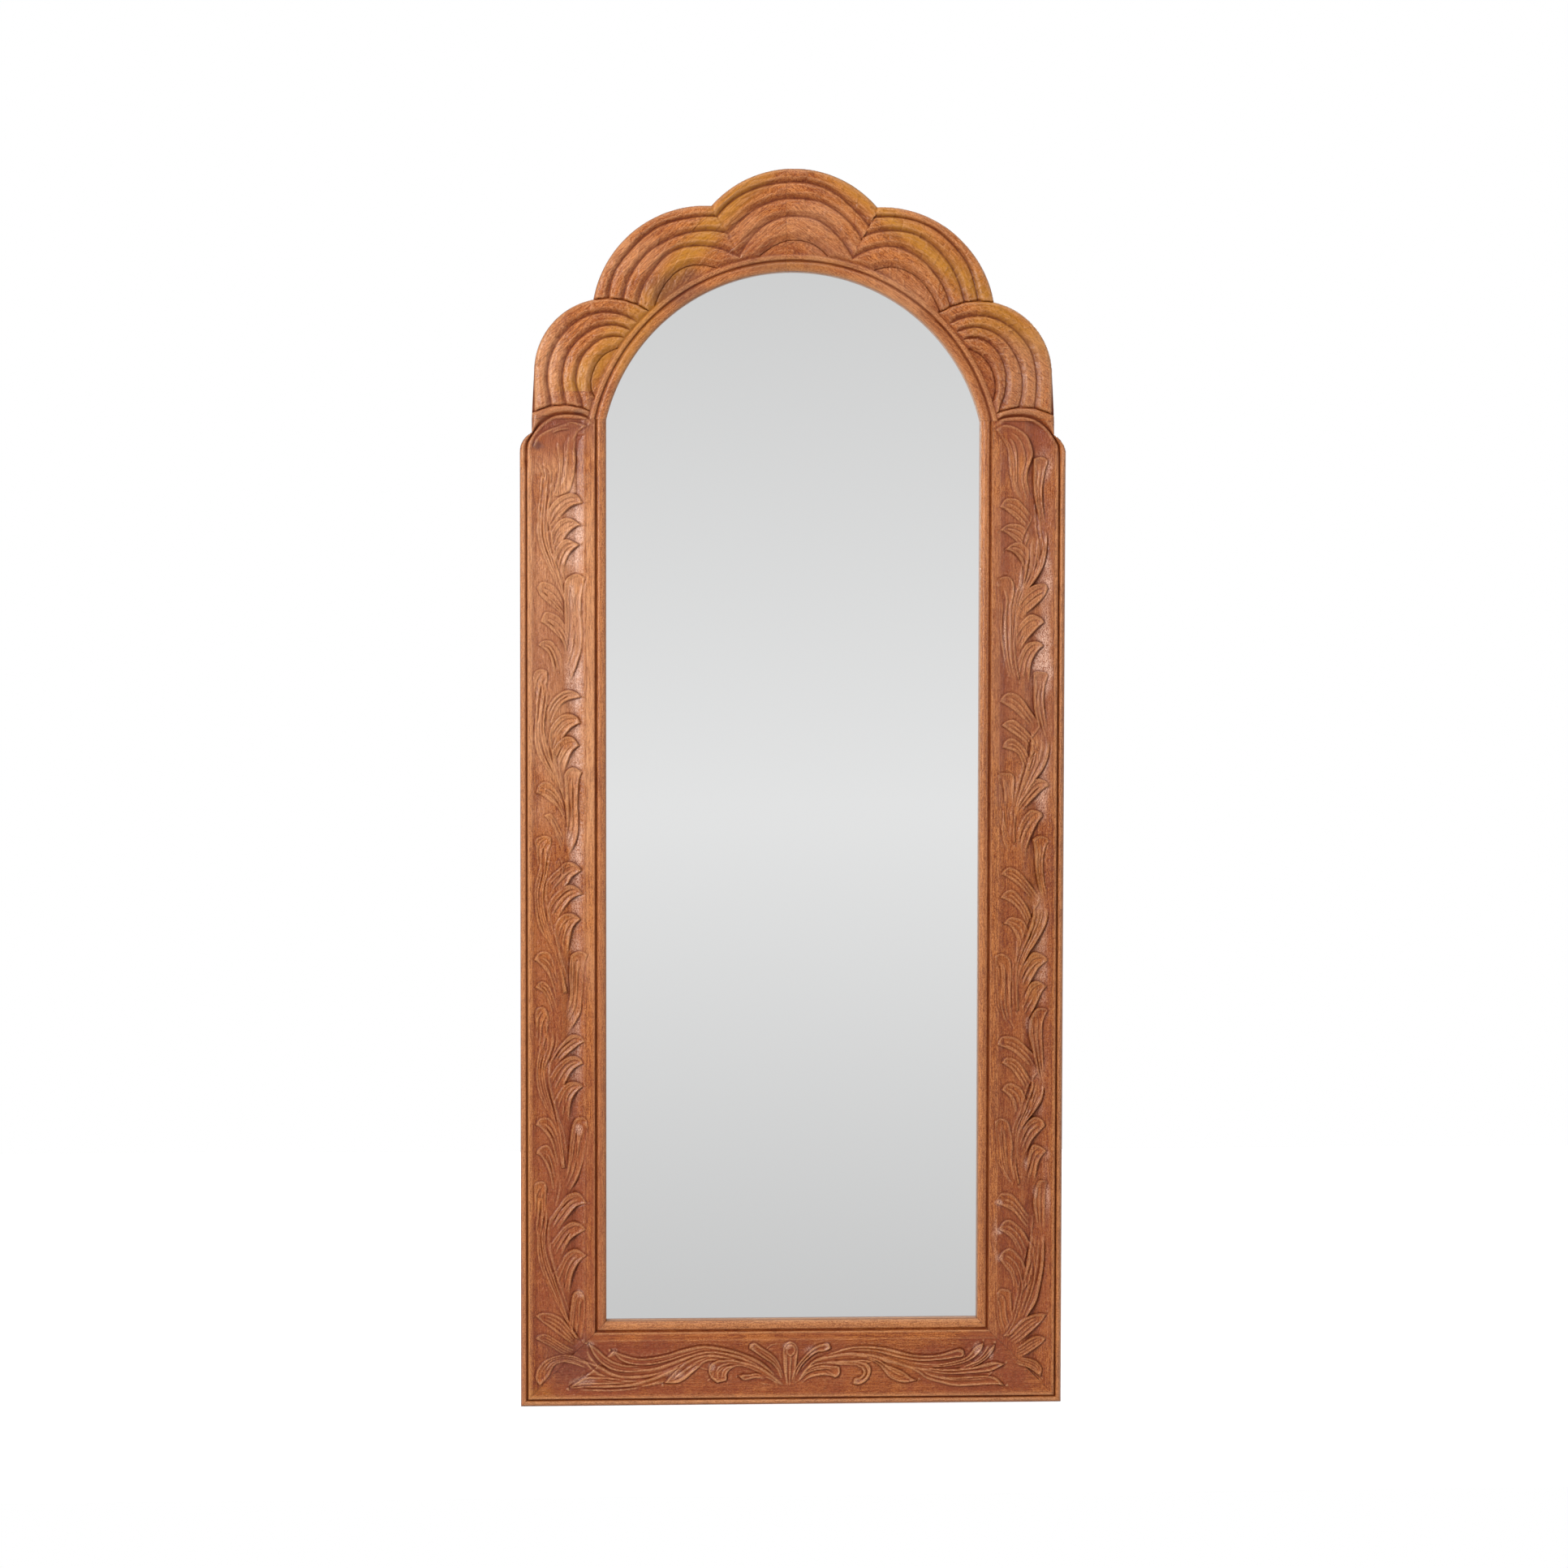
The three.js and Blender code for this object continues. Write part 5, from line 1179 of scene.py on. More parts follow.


# Colour laid on the wood in places: middle x, z, reach in x, z, in millimetres, and how strong. Pale ones
# high on the left stile lighten it and red ones low down darken the frame towards its foot; the glint spots
# are painted highlights.
stainsAndPaintedLight = {
    "pale": [(-345, 1160, 90, 330, .85), (345, 1150, 90, 300, .4), (-300, 1060, 22, 420, .8),
             (-365, 1540, 30, 80, .6), (160, 1640, 60, 50, .4), (-250, 1700, 80, 30, .35),
             (345, 1540, 40, 70, .4), (40, 1740, 60, 40, .4), (-50, 1740, 50, 30, .3)],
    "red": [(-285, 300, 18, 300, 1), (-340, 300, 60, 300, .7), (-260, 55, 130, 70, .9),
            (265, 50, 110, 60, .9), (-397, 330, 9, 400, .9), (308, 1180, 18, 280, .7),
            (398, 240, 10, 300, .6), (-60, 60, 260, 60, .6), (345, 200, 60, 260, .45),
            (-345, 1440, 60, 40, .9), (345, 1440, 60, 40, .8), (-340, 95, 70, 60, .35),
            (300, 60, 90, 40, .3), (-345, 420, 60, 460, .4), (345, 420, 60, 460, .3),
            (-120, 60, 260, 60, .25), (-345, 1120, 60, 90, .35), (345, 1060, 60, 120, .4),
            (-40, 1700, 60, 30, .35), (290, 1500, 30, 60, .4), (30, 1700, 60, 30, .35),
            (-160, 1650, 50, 30, .4), (-340, 1480, 50, 20, .4), (345, 1300, 60, 110, .45)],
    # painted highlight: glints on leaf tips and ridge crests
    "paintedTipGlint": [(277, 81, 7, 9, 1), (297, 75, 4, 10, 1), (28, 79, 12, 9, .8), (51, 90, 4, 3, 1),
              (-264, 82, 5, 5, 1), (-299, 93, 5, 4, 1), (-310, 38, 16, 6, .9), (-175, 46, 14, 8, .8),
              (-119, 58, 6, 6, .8), (-60, 90, 6, 4, .6), (-8, 88, 7, 6, .7), (98, 34, 8, 5, .6),
              (351, 565, 5, 14, .7), (308, 301, 6, 5, .9), (308, 258, 6, 5, .9), (308, 218, 6, 5, .6),
              (348, 358, 4, 14, .7), (362, 318, 4, 10, .8), (-317, 414, 5, 8, .9), (-361, 505, 3, 12, .5),
              (-315, 169, 6, 6, .6), (-326, 1205, 5, 22, .7), (312, 1150, 3, 45, .9),
              (337, 1225, 4, 18, .8), (357, 1335, 3, 6, .6)],
    # painted highlight: pale glints on the tooled ground that faces the key lamp
    "paintedGlint": [(-322, 1300, 13, 90, .75), (-322, 1080, 12, 150, .75), (-322, 800, 12, 160, .75),
              (-322, 560, 11, 150, .5), (372, 1208, 10, 48, .9), (369, 1112, 15, 52, 1),
              (368, 1392, 12, 30, .6), (368, 930, 10, 60, .6), (366, 600, 12, 150, .4),
              (378, 330, 8, 60, .5)],
    "sap": [(-374, 16, 30, 14, .45), (-240, 1556, 46, 52, .6), (-350, 1000, 16, 120, .25),
            (360, 700, 14, 150, .3), (-330, 620, 14, 160, .22), (0, 1690, 70, 12, .4),
            (300, 1610, 50, 24, .6)],
    "dark": [(-378, 1422, 9, 8, .8), (-316, 1470, 10, 5, .9), (-160, 1668, 32, 22, .6),
             (-335, 70, 46, 40, .4), (340, 400, 30, 80, .15), (-168, 1650, 50, 26, .55),
             (-30, 1690, 50, 14, .3), (-330, 1452, 60, 18, .3)],
}


def tintOf(kind, x, z):
    total = np.zeros(x.shape)
    wobble = noiseField(x, z, 34, 21) * .35 + noiseField(x, z, 11, 22) * .2
    for cx, cz, rx, rz, strength in stainsAndPaintedLight[kind]:
        d = np.hypot((x - cx) / rx, (z - cz) / rz) + wobble
        total = np.maximum(total, strength * step(1.25 - d, 0, .9))
    return total


# The yellow sapwood bands across the crown's halves: a place on each, its direction and its half width
sapLines = {"left": ((-152, 1705), (.649, .761), 19), "right": ((197, 1711), (.777, -.629), 20)}


def sapBand(x, z):
    wander = 7 * noiseField(x, z, 55, 31) + 3 * noiseField(x, z, 17, 32)
    total = np.zeros(x.shape)
    for side, ((cx, cz), (ux, uz), width) in sapLines.items():
        across = (x - cx) * uz - (z - cz) * ux + wander
        onSide = x < size["seamX"] if side == "left" else x > size["seamX"]
        total += bell(across, .85, width) * onSide * (z > crownPlaces["headTop"])
    return total


# Distance from the edge of the opening
def openingDistance(x, z):
    straight = np.maximum(np.abs(x) - size["openingHalf"], size["boardWidth"] - z)
    return np.abs(np.where(z < size["stileHeight"], straight, np.hypot(x, z - arch["z"]) - arch["radius"]))


# What the carving gives the surface on the relief's grid: grooves dark with glaze and painted shade, worn
# edges with a painted highlight, tooled ground
def carvedMaps(relief):
    # fine cuts darkened by glaze and painted shade, broad hollows by painted shade; the relief's shade map
    # adds painted shade on the ribs' falls
    near, wide = (np.clip((blurred(relief.h, reach) - relief.h) / depth, 0, 1) * .45
                  for reach, depth in ((1, .8), (5, 2.0)))
    return {
        "groove": np.clip(near + wide + relief.shade * .42, 0, 1),
        # edges lightened by wear and by a painted highlight along the crests
        "wornAndHighlight": np.clip((relief.h - blurred(relief.h, 2)) / .5, 0, 1),
        "tooled": 1 - relief.polish,
    }


# A map's values between the relief's grid places
def sampled(relief, values, x, z):
    i = np.clip(np.searchsorted(relief.xs, x) - 1, 0, len(relief.xs) - 2)
    k = np.clip(np.searchsorted(relief.zs, z) - 1, 0, len(relief.zs) - 2)
    fx = np.clip((x - relief.xs[i]) / (relief.xs[i + 1] - relief.xs[i]), 0, 1)
    fz = np.clip((z - relief.zs[k]) / (relief.zs[k + 1] - relief.zs[k]), 0, 1)
    low = values[k, i] * (1 - fx) + values[k, i + 1] * fx
    return low * (1 - fz) + (values[k + 1, i] * (1 - fx) + values[k + 1, i + 1] * fx) * fz


# Where the painted highlight along the opening's edge reaches, and how strong it is left and right of a place
openingHighlight = {"reach": 1.6, "lowest": 18, "turn": -60, "left": 1.8, "right": 3.2}
frontLow = 24  # what lies lower than this above the back isn't carved


# The board's attributes that its material reads
def paintBoard(obj, relief):
    places = np.empty(len(obj.data.vertices) * 3)
    obj.data.vertices.foreach_get("co", places)
    places = places.reshape(-1, 3) * 1000
    x, z, h = places[:, 0], places[:, 2], size["backY"] - places[:, 1]
    painted = {name: np.where(h > frontLow, sampled(relief, values, x, z), 0)
               for name, values in carvedMaps(relief).items()}
    # painted highlight along the opening's edge, stronger on the right, where that wall faces the key lamp
    wornAndHighlight = np.where(h > openingHighlight["lowest"], bell(openingDistance(x, z), 1, openingHighlight["reach"]), 0)
    wornAndHighlight = wornAndHighlight * np.where(x > openingHighlight["turn"], openingHighlight["right"], openingHighlight["left"])
    painted["wornAndHighlight"] = np.maximum(painted["wornAndHighlight"], wornAndHighlight)
    for kind in stainsAndPaintedLight:
        painted[kind] = tintOf(kind, x, z)
    if "crown" in obj.name:
        painted["sap"] = np.maximum(painted["sap"], sapBand(x, z))
    for name, values in painted.items():
        obj.data.attributes.new(name, "FLOAT", "POINT").data.foreach_set("value", values.astype(np.float32))


def finishBoard(obj, relief, node, limit=190000):
    triangles = sum(len(face.vertices) - 2 for face in obj.data.polygons)
    if triangles > limit:
        obj.modifiers.new("thin", "DECIMATE").ratio = limit / triangles
        applyModifiers(obj)
    bm = bmesh.new()
    bm.from_mesh(obj.data)
    bmesh.ops.dissolve_degenerate(bm, edges=bm.edges, dist=1e-6)
    bmesh.ops.recalc_face_normals(bm, faces=bm.faces)
    bm.to_mesh(obj.data)
    bm.free()
    sharpen(obj, 48)
    paintBoard(obj, relief)
    obj.data.materials.clear()
    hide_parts(node)
    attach(obj, "frame")
    print("board", obj.name, len(obj.data.polygons), flush=True)


print("stage: reliefs", flush=True)
grid = 1.1
boards = {}
for name, side in (("left_stile", -1), ("right_stile", 1)):
    relief = stileRelief(side, grid)
    boards[name] = boardMesh(f"{name}_carved", relief, stileOutline(side), rebates)
    finishBoard(boards[name], relief, name)
relief = railRelief(grid)
boards["bottom_rail"] = boardMesh("bottom_rail_carved", relief, railOutline(), rebates)
finishBoard(boards["bottom_rail"], relief, "bottom_rail")

# The strip's seam runs from below one corner of the outline to below the next
outline, corners = crownOutline()
stripStart, stripEnd = ((x, z - drop) for (x, z), drop in ((corners[3], 12), (corners[4], 23)))
relief = crownRelief(1.0)
crown = boardMesh("crown_blank", relief, outline, [*rebates, (archOutline(0), 60)])
seamFoot, seamTop = (size["seamX"], 0), (size["seamX"], 1900)
cuts = {
    "crown_right": [(seamTop, seamFoot)],
    "crown_left": [(seamFoot, seamTop), (stripStart, stripEnd)],
    "crown_left_strip": [(seamFoot, seamTop), (stripEnd, stripStart)],
}
for name, seams in cuts.items():
    boards[name] = newObject(f"{name}_carved", crown.data.copy())
    for start, end in seams:
        booleanCut(boards[name], prism(halfPlane(start, end, size["gap"] / 2), -20, 70), "INTERSECT")
    finishBoard(boards[name], relief, name)
bpy.data.objects.remove(crown)


# Shader maths: a socket with ordinary arithmetic
class Value:
    def __init__(self, tree, socket):
        self.tree, self.socket = tree, socket

    def math(self, operation, *others):
        node = self.tree.nodes.new("ShaderNodeMath")
        node.operation = operation
        for slot, item in zip(node.inputs, (self, *others)):
            setSlot(self.tree, slot, item)
        return Value(self.tree, node.outputs[0])

    def __add__(self, other):
        return self.math("ADD", other)

    def __mul__(self, other):
        return self.math("MULTIPLY", other)

    def __sub__(self, other):
        return self.math("SUBTRACT", other)

    def __rsub__(self, other):
        return (self * -1) + other

    __radd__, __rmul__ = __add__, __mul__

    def clamp(self):
        held = self.math("ADD", 0.0)
        held.socket.node.use_clamp = True
        return held

    def between(self, low, high):
        return make(self.tree, "ShaderNodeMapRange", {"interpolation_type": "SMOOTHSTEP"},
                    {"Value": self, "From Min": low, "From Max": high}, "Result")

    # a colour between two, by this value
    def mix(self, first, second):
        return make(self.tree, "ShaderNodeMix", {"data_type": "RGBA", "clamp_factor": True},
                    {0: self, 6: first, 7: second}, 2)


# A socket's link, its colour or its plain value
def setSlot(tree, slot, value):
    if isinstance(value, Value):
        tree.links.new(value.socket, slot)
    elif isinstance(value, tuple) and slot.type == "RGBA":
        slot.default_value = (*value, 1)
    else:
        slot.default_value = value


# A node of some type with its settings, the values or links of its sockets, and the output that is used
def make(tree, kind, settings=None, inputs=None, output=0):
    node = tree.nodes.new(kind)
    for key, value in (settings or {}).items():
        if key == "stops":
            elements = node.color_ramp.elements
            while len(elements) < len(value):
                elements.new(0.5)
            for element, (place, colour) in zip(elements, value):
                element.position, element.color = place, (*colour, 1)
        elif key == "curve":
            points = node.mapping.curves[0].points
            while len(points) < len(value):
                points.new(0.5, 0.5)
            for point, place in zip(points, value):
                point.location, point.handle_type = place, "VECTOR"
            node.mapping.update()
        else:
            setattr(node, key, value)
    for key, value in (inputs or {}).items():
        setSlot(tree, node.inputs[key], value)
    return Value(tree, node.outputs[output])


def startMaterial(name):
    material = bpy.data.materials.new(name)
    material.use_nodes = True
    tree = material.node_tree
    tree.nodes.clear()
    shader = tree.nodes.new("ShaderNodeBsdfPrincipled")
    out = tree.nodes.new("ShaderNodeOutputMaterial")
    tree.links.new(shader.outputs[0], out.inputs["Surface"])
    return material, tree, shader


def connect(tree, shader, **values):
    for key, value in values.items():
        setSlot(tree, shader.inputs[key.replace("_", " ")], value)


def bumped(tree, height, strength, distance):
    return make(tree, "ShaderNodeBump", None, {"Strength": strength, "Distance": distance, "Height": height})


def noise(tree, vector, detail, rough, distortion=0.0):
    return make(tree, "ShaderNodeTexNoise", {"noise_dimensions": "3D"}, {
        "Vector": vector, "Scale": 1.0, "Detail": detail, "Roughness": rough, "Distortion": distortion})


# Object coordinates, turned and then scaled
def placed(tree, scale, rotation=(0, 0, 0), location=(0, 0, 0)):
    base = make(tree, "ShaderNodeTexCoord", None, None, "Object")
    turned = make(tree, "ShaderNodeMapping", {"vector_type": "POINT"}, {"Vector": base, "Rotation": rotation})
    return make(tree, "ShaderNodeMapping", {"vector_type": "POINT"},
                {"Vector": turned, "Scale": scale, "Location": location})


# How far back a place lies, in metres
def depthOf(tree):
    position = make(tree, "ShaderNodeTexCoord", None, None, "Object")
    return make(tree, "ShaderNodeSeparateXYZ", None, {"Vector": position}, "Y")


def attribute(tree, name):
    node = tree.nodes.new("ShaderNodeAttribute")
    node.attribute_name = name
    return Value(tree, node.outputs["Fac"])


# Colours of the wood. Three are partly painted light: the pale glint colour, the worn edges' colour, which is
# also a painted highlight, and the glaze, which is also painted shade in hollows.
woodLook = {
    "light": (0.640, 0.226, 0.058), "middle": (0.395, 0.099, 0.013), "deep": (0.180, 0.029, 0.005),
    "glazeAndShade": (0.125, 0.019, 0.004), "wornEdgeAndHighlight": (0.720, 0.355, 0.160), "sapwood": (0.530, 0.215, 0.014),
    "pale": (0.800, 0.390, 0.190), "paintedGlint": (0.87, 0.52, 0.38), "red": (0.275, 0.054, 0.018),
    "stain": (0.085, 0.030, 0.030), "raw": (0.520, 0.310, 0.160), "rawDark": (0.210, 0.100, 0.042),
    "roughness": 0.23, "bump": 0.8, "bumpDistance": .00045, "rawFrom": (.0130, .0146),
}
# The grain's patterns: scales with z along the grain, detail, roughness and distortion
grainPatterns = {
    "figure": ((75, 75, 6), 4, .6, .8), "bands": ((20, 20, 1.6), 3, .5, .4),
    "fibre": ((820, 820, 50), 3, .65), "strand": ((420, 420, 26), 3, .6, .3),
    "pores": ((1500, 1500, 120), 2, .5), "specks": ((1000, 1000, 480), 2, .6),
}


# The grain runs along z before the turn about y. The board's attributes say where it is grooved, worn or
# stained, and where it gets painted shade and painted highlights.
def woodMaterial(name, turn, offset, softness, speckle, edge):
    material, tree, shader = startMaterial(name)
    angle = (0, math.radians(turn), 0)
    figure, bands, fibre, strand, pores, specks = (
        noise(tree, placed(tree, scale, angle, offset), *look) for scale, *look in grainPatterns.values())
    cloud = noise(tree, placed(tree, (12, 12, 12), (0, 0, 0), offset), 3, .55)
    dents = noise(tree, placed(tree, (330, 330, 330)), 2, .55)
    groove, wornAndHighlight, tooled = (attribute(tree, kind) for kind in ("groove", "wornAndHighlight", "tooled"))
    pore = pores.between(.56, .70)
    streak = fibre.between(.30, .70) * .7 + strand.between(.30, .70) * .3
    shade = (figure * .7 + bands * .45 + streak * (.84 * softness) + specks.between(.35, .65) * speckle
             + cloud * .44 - (.27 + .5 * speckle + .42 * softness)).clamp()
    stops = [(.16, woodLook["deep"]), (.47, woodLook["middle"]), (.84, woodLook["light"])]
    colour = make(tree, "ShaderNodeValToRGB", {"stops": stops}, {"Fac": shade})
    # painted highlight: pale specks where the tooled ground, the leaf tips and the crests would glint
    paintedGlint = (attribute(tree, "paintedGlint") * tooled * 1.9 * cloud.between(.30, .50)
             + attribute(tree, "paintedTipGlint") * .9) * specks.between(.38, .58)
    raw = (figure * .7 + bands * .6 + streak * .45 - .42).clamp().mix(woodLook["rawDark"], woodLook["raw"])
    back = depthOf(tree).between(*woodLook["rawFrom"])
    # from the first coat to the last: how much of each colour lies over the ones before; the glints are
    # painted highlights, the worn edges partly so, and the glaze is partly painted shade
    coats = [
        (attribute(tree, "sap") * (figure * .9 + .45), "sapwood"),
        (attribute(tree, "pale") * (streak * .8 + .3), "pale"),
        (attribute(tree, "red") * .75 + tooled * .34, "red"), (paintedGlint * .9, "paintedGlint"),
        (attribute(tree, "dark") * .8, "stain"),
        (wornAndHighlight * edge * (specks.between(.3, .6) * .7 + .3), "wornEdgeAndHighlight"),
        (pore * .55 + strand.between(.66, .78) * .4, "deep"), (groove * .85, "glazeAndShade"),
    ]
    for share, kind in coats:
        colour = share.clamp().mix(colour, woodLook[kind])
    rough = (fibre * .16 + groove * .22 - tooled * .05 + pore * .12 + back * .3 + woodLook["roughness"]
             - wornAndHighlight * .04).clamp()
    height = fibre * .8 - pore * .9 + figure * .5 + cloud * 1.4 + dents * (tooled * 4.2 + .7) + specks * .7
    connect(tree, shader, Base_Color=back.mix(colour, raw), Roughness=rough, IOR=1.48, Coat_Weight=.18,
            Coat_Roughness=.2, Specular_IOR_Level=.28,
            Normal=bumped(tree, height, woodLook["bump"], woodLook["bumpDistance"]))
    return material


print("stage: wood", flush=True)
# Each board's grain: its turn, its place in the pattern, and how strong streaks, speckle and worn edges with
# their painted highlight are
grains = {
    "left_stile": (0, (0, 0, 0), .95, .52, .42),
    "right_stile": (0, (3.1, .7, 1.9), .95, .52, .42),
    "bottom_rail": (90, (1.3, 2.2, .4), .85, .50, .75),
    "crown_left": (-49, (.2, 4.1, 2.6), .72, .46, .5),
    "crown_left_strip": (-49, (5.2, 1.1, .9), .72, .46, .5),
    "crown_right": (53, (2.4, 3.3, 4.4), .72, .46, .5),
}
for name, look in grains.items():
    boards[name].data.materials.append(woodMaterial(f"{name}_wood", *look))


def silverGlass():
    material, tree, shader = startMaterial("silvered_glass_pane")
    haze = noise(tree, placed(tree, (5, 5, 5)), 2, .5)
    paint = depthOf(tree).between(-.0022, -.0016)  # the pane's back
    connect(tree, shader, Base_Color=paint.mix((.90, .905, .905), (.16, .155, .15)), Metallic=1 - paint,
            Roughness=(haze * .012 + .012 + paint * .5).clamp(), IOR=1.5)
    return material


def backPanelBoard():
    material, tree, shader = startMaterial("back_panel_board")
    fleck = noise(tree, placed(tree, (900, 900, 900)), 3, .6)
    strand = noise(tree, placed(tree, (260, 260, 90)), 4, .65, .6)
    cloud = noise(tree, placed(tree, (7, 7, 7)), 3, .5)
    share = (fleck * .45 + strand * .4 + cloud * .3 - .08).clamp()
    connect(tree, shader, Base_Color=share.mix((.125, .066, .032), (.300, .182, .096)),
            Roughness=(fleck * .2 + .62).clamp(), Normal=bumped(tree, fleck + strand, .3, .0003))
    return material


def metal(name, colour, rough, wear):
    material, tree, shader = startMaterial(name)
    scratch = noise(tree, placed(tree, (1400, 1400, 160)), 3, .6)
    spots = noise(tree, placed(tree, (240, 240, 240)), 4, .6)
    tone = spots.between(.35, .75).mix(colour, tuple(part * .72 for part in colour))
    gloss = (scratch * wear + spots * wear + rough).clamp()
    connect(tree, shader, Base_Color=tone, Metallic=1.0, Roughness=gloss,
            Normal=bumped(tree, scratch + spots * .6, .12, .0002))
    return material


def rubberSkin():
    material, tree, shader = startMaterial("rubber_skin")
    grainy = noise(tree, placed(tree, (1600, 1600, 1600)), 2, .5)
    dust = noise(tree, placed(tree, (120, 120, 120)), 3, .6)
    connect(tree, shader, Base_Color=dust.between(.3, .8).mix((.018, .018, .018), (.045, .043, .040)),
            Roughness=(grainy * .15 + .62).clamp(), Normal=bumped(tree, grainy, .2, .0001))
    return material


def paleDowel():
    material, tree, shader = startMaterial("beech_dowel")
    fleck = noise(tree, placed(tree, (700, 700, 60)), 3, .6)
    connect(tree, shader, Base_Color=fleck.mix((.50, .32, .17), (.64, .45, .27)),
            Roughness=(fleck * .2 + .5).clamp(), Normal=bumped(tree, fleck, .2, .0002))
    return material


finishes = {
    "mirror_glass": silverGlass(), "back_panel": backPanelBoard(), "dowel": paleDowel(),
    "bumper": rubberSkin(), "screw": metal("zinc_screw", (.62, .60, .56), .26, .12),
    "hanger_strap": metal("nickel_strap", (.66, .63, .57), .22, .10),
    "hanger_ring": metal("nickel_wire", (.70, .67, .61), .20, .08),
}


# Fittings on the back. Screws and rubber feet are profiles turned round their axis and set on points.
def startNodes(name, inputs):
    tree = bpy.data.node_groups.new(name, "GeometryNodeTree")
    for way in ("INPUT", "OUTPUT"):
        tree.interface.new_socket("Geometry", in_out=way, socket_type="NodeSocketGeometry")
    for label, kind in inputs.items():
        tree.interface.new_socket(label, in_out="INPUT", socket_type=f"NodeSocket{kind}")
    source = tree.nodes.new("NodeGroupInput")
    return tree, {label: Value(tree, source.outputs[label]) for label in ("Geometry", *inputs)}


def endNodes(tree, geometry, material):
    whole = make(tree, "GeometryNodeRealizeInstances", None, {"Geometry": geometry})
    dressed = make(tree, "GeometryNodeSetMaterial", None, {"Geometry": whole, "Material": material})
    tree.links.new(dressed.socket, tree.nodes.new("NodeGroupOutput").inputs["Geometry"])


# Rows of a profile from the bottom up: shares of the inner and outer radius, of the depth and of the height
turnedProfiles = {
    "screw": [(0, 0, 1, 0), (1, 0, .82, 0), (1, 0, .02, 0), (0, 1, 0, 0), (0, 1, 0, .30), (0, .975, 0, .42),
              (0, .90, 0, .58), (0, .76, 0, .76), (0, .56, 0, .90), (0, .30, 0, .98), (0, 0, 0, 1)],
    "foot": [(0, 0, 0, 0), (0, 1, 0, 0), (0, 1, 0, .34), (0, .98, 0, .44), (0, .90, 0, .68), (0, .80, 0, .90),
             (0, .72, 0, .97), (0, .62, 0, 1), (1.3, 0, 0, 1), (1, 0, 0, .93), (0, 0, 0, .90)],
}


def combine(tree, **parts):
    return make(tree, "ShaderNodeCombineXYZ", None, parts)


def turnedTree(name, cross):
    tree, given = startNodes(name, {
        "Inner Radius": "Float", "Outer Radius": "Float", "Depth": "Float", "Height": "Float", "Sides": "Int",
        "Cross Width": "Float", "Cross Depth": "Float", "Seed": "Int", "Material": "Material"})
    rows = turnedProfiles[name]
    sheet = make(tree, "GeometryNodeMeshGrid", None, {
        "Size X": 1.0, "Size Y": 1.0, "Vertices X": given["Sides"] + 1, "Vertices Y": len(rows)})
    place = make(tree, "GeometryNodeInputPosition")
    around = make(tree, "ShaderNodeSeparateXYZ", None, {"Vector": place}, "X") * math.tau
    up = make(tree, "ShaderNodeSeparateXYZ", None, {"Vector": place}, "Y") + .5
    shares = []
    for column in zip(*rows):
        curve = [(i / (len(rows) - 1), share / 2) for i, share in enumerate(column)]
        shares.append(make(tree, "ShaderNodeFloatCurve", {"curve": curve}, {"Value": up}) * 2)
    radius = given["Inner Radius"] * shares[0] + given["Outer Radius"] * shares[1]
    level = given["Height"] * shares[3] - given["Depth"] * shares[2]
    spot = combine(tree, X=radius * around.math("COSINE"), Y=radius * around.math("SINE"), Z=level)
    shell = make(tree, "GeometryNodeSetPosition", None, {"Geometry": sheet, "Position": spot})
    piece = make(tree, "GeometryNodeMergeByDistance", None, {"Geometry": shell, "Distance": .00001})
    if cross:
        # a cross recess in the head, cut with two bars
        long, wide, deep = given["Outer Radius"] * 1.05, given["Cross Width"], given["Cross Depth"] * 2
        for x, y in ((long, wide), (wide, long)):
            bar = make(tree, "GeometryNodeMeshCube", None, {"Size": combine(tree, X=x, Y=y, Z=deep)})
            raised = make(tree, "GeometryNodeTransform", None, {
                "Geometry": bar, "Translation": combine(tree, Z=given["Height"])})
            piece = make(tree, "GeometryNodeMeshBoolean", {"operation": "DIFFERENCE", "solver": "EXACT"},
                         {"Mesh 1": piece, "Mesh 2": raised})
    spin = make(tree, "FunctionNodeRandomValue", {"data_type": "FLOAT"},
                {2: 0.0, 3: math.tau, "Seed": given["Seed"]}, 1)
    spread = make(tree, "GeometryNodeInstanceOnPoints", None, {
        "Points": given["Geometry"], "Instance": piece, "Rotation": combine(tree, X=-math.pi / 2)})
    spun = make(tree, "GeometryNodeRotateInstances", None, {
        "Instances": spread, "Rotation": combine(tree, Z=spin), "Local Space": True})
    endNodes(tree, spun, given["Material"])
    return tree


# A bent wire: a round section swept along the path that the mesh's edges give
def wireTree(name):
    tree, given = startNodes(name, {"Wire Radius": "Float", "Sides": "Int", "Material": "Material"})
    path = make(tree, "GeometryNodeMeshToCurve", None, {"Mesh": given["Geometry"]})
    wire = make(tree, "GeometryNodeCurvePrimitiveCircle", {"mode": "RADIUS"},
                {"Resolution": given["Sides"], "Radius": given["Wire Radius"]})
    tube = make(tree, "GeometryNodeCurveToMesh", None,
                {"Curve": path, "Profile Curve": wire, "Fill Caps": True})
    endNodes(tree, tube, given["Material"])
    return tree


# What the tree makes of some points or a path, as a plain mesh
def grow(name, points, edges, tree, settings):
    mesh = bpy.data.meshes.new(name)
    mesh.from_pydata(points, edges, [])
    obj = newObject(name, mesh)
    modifier = obj.modifiers.new("grow", "NODES")
    modifier.node_group = tree
    for socket in tree.interface.items_tree:
        if socket.name in settings:
            modifier[socket.identifier] = settings[socket.name]
    applyModifiers(obj)
    return obj


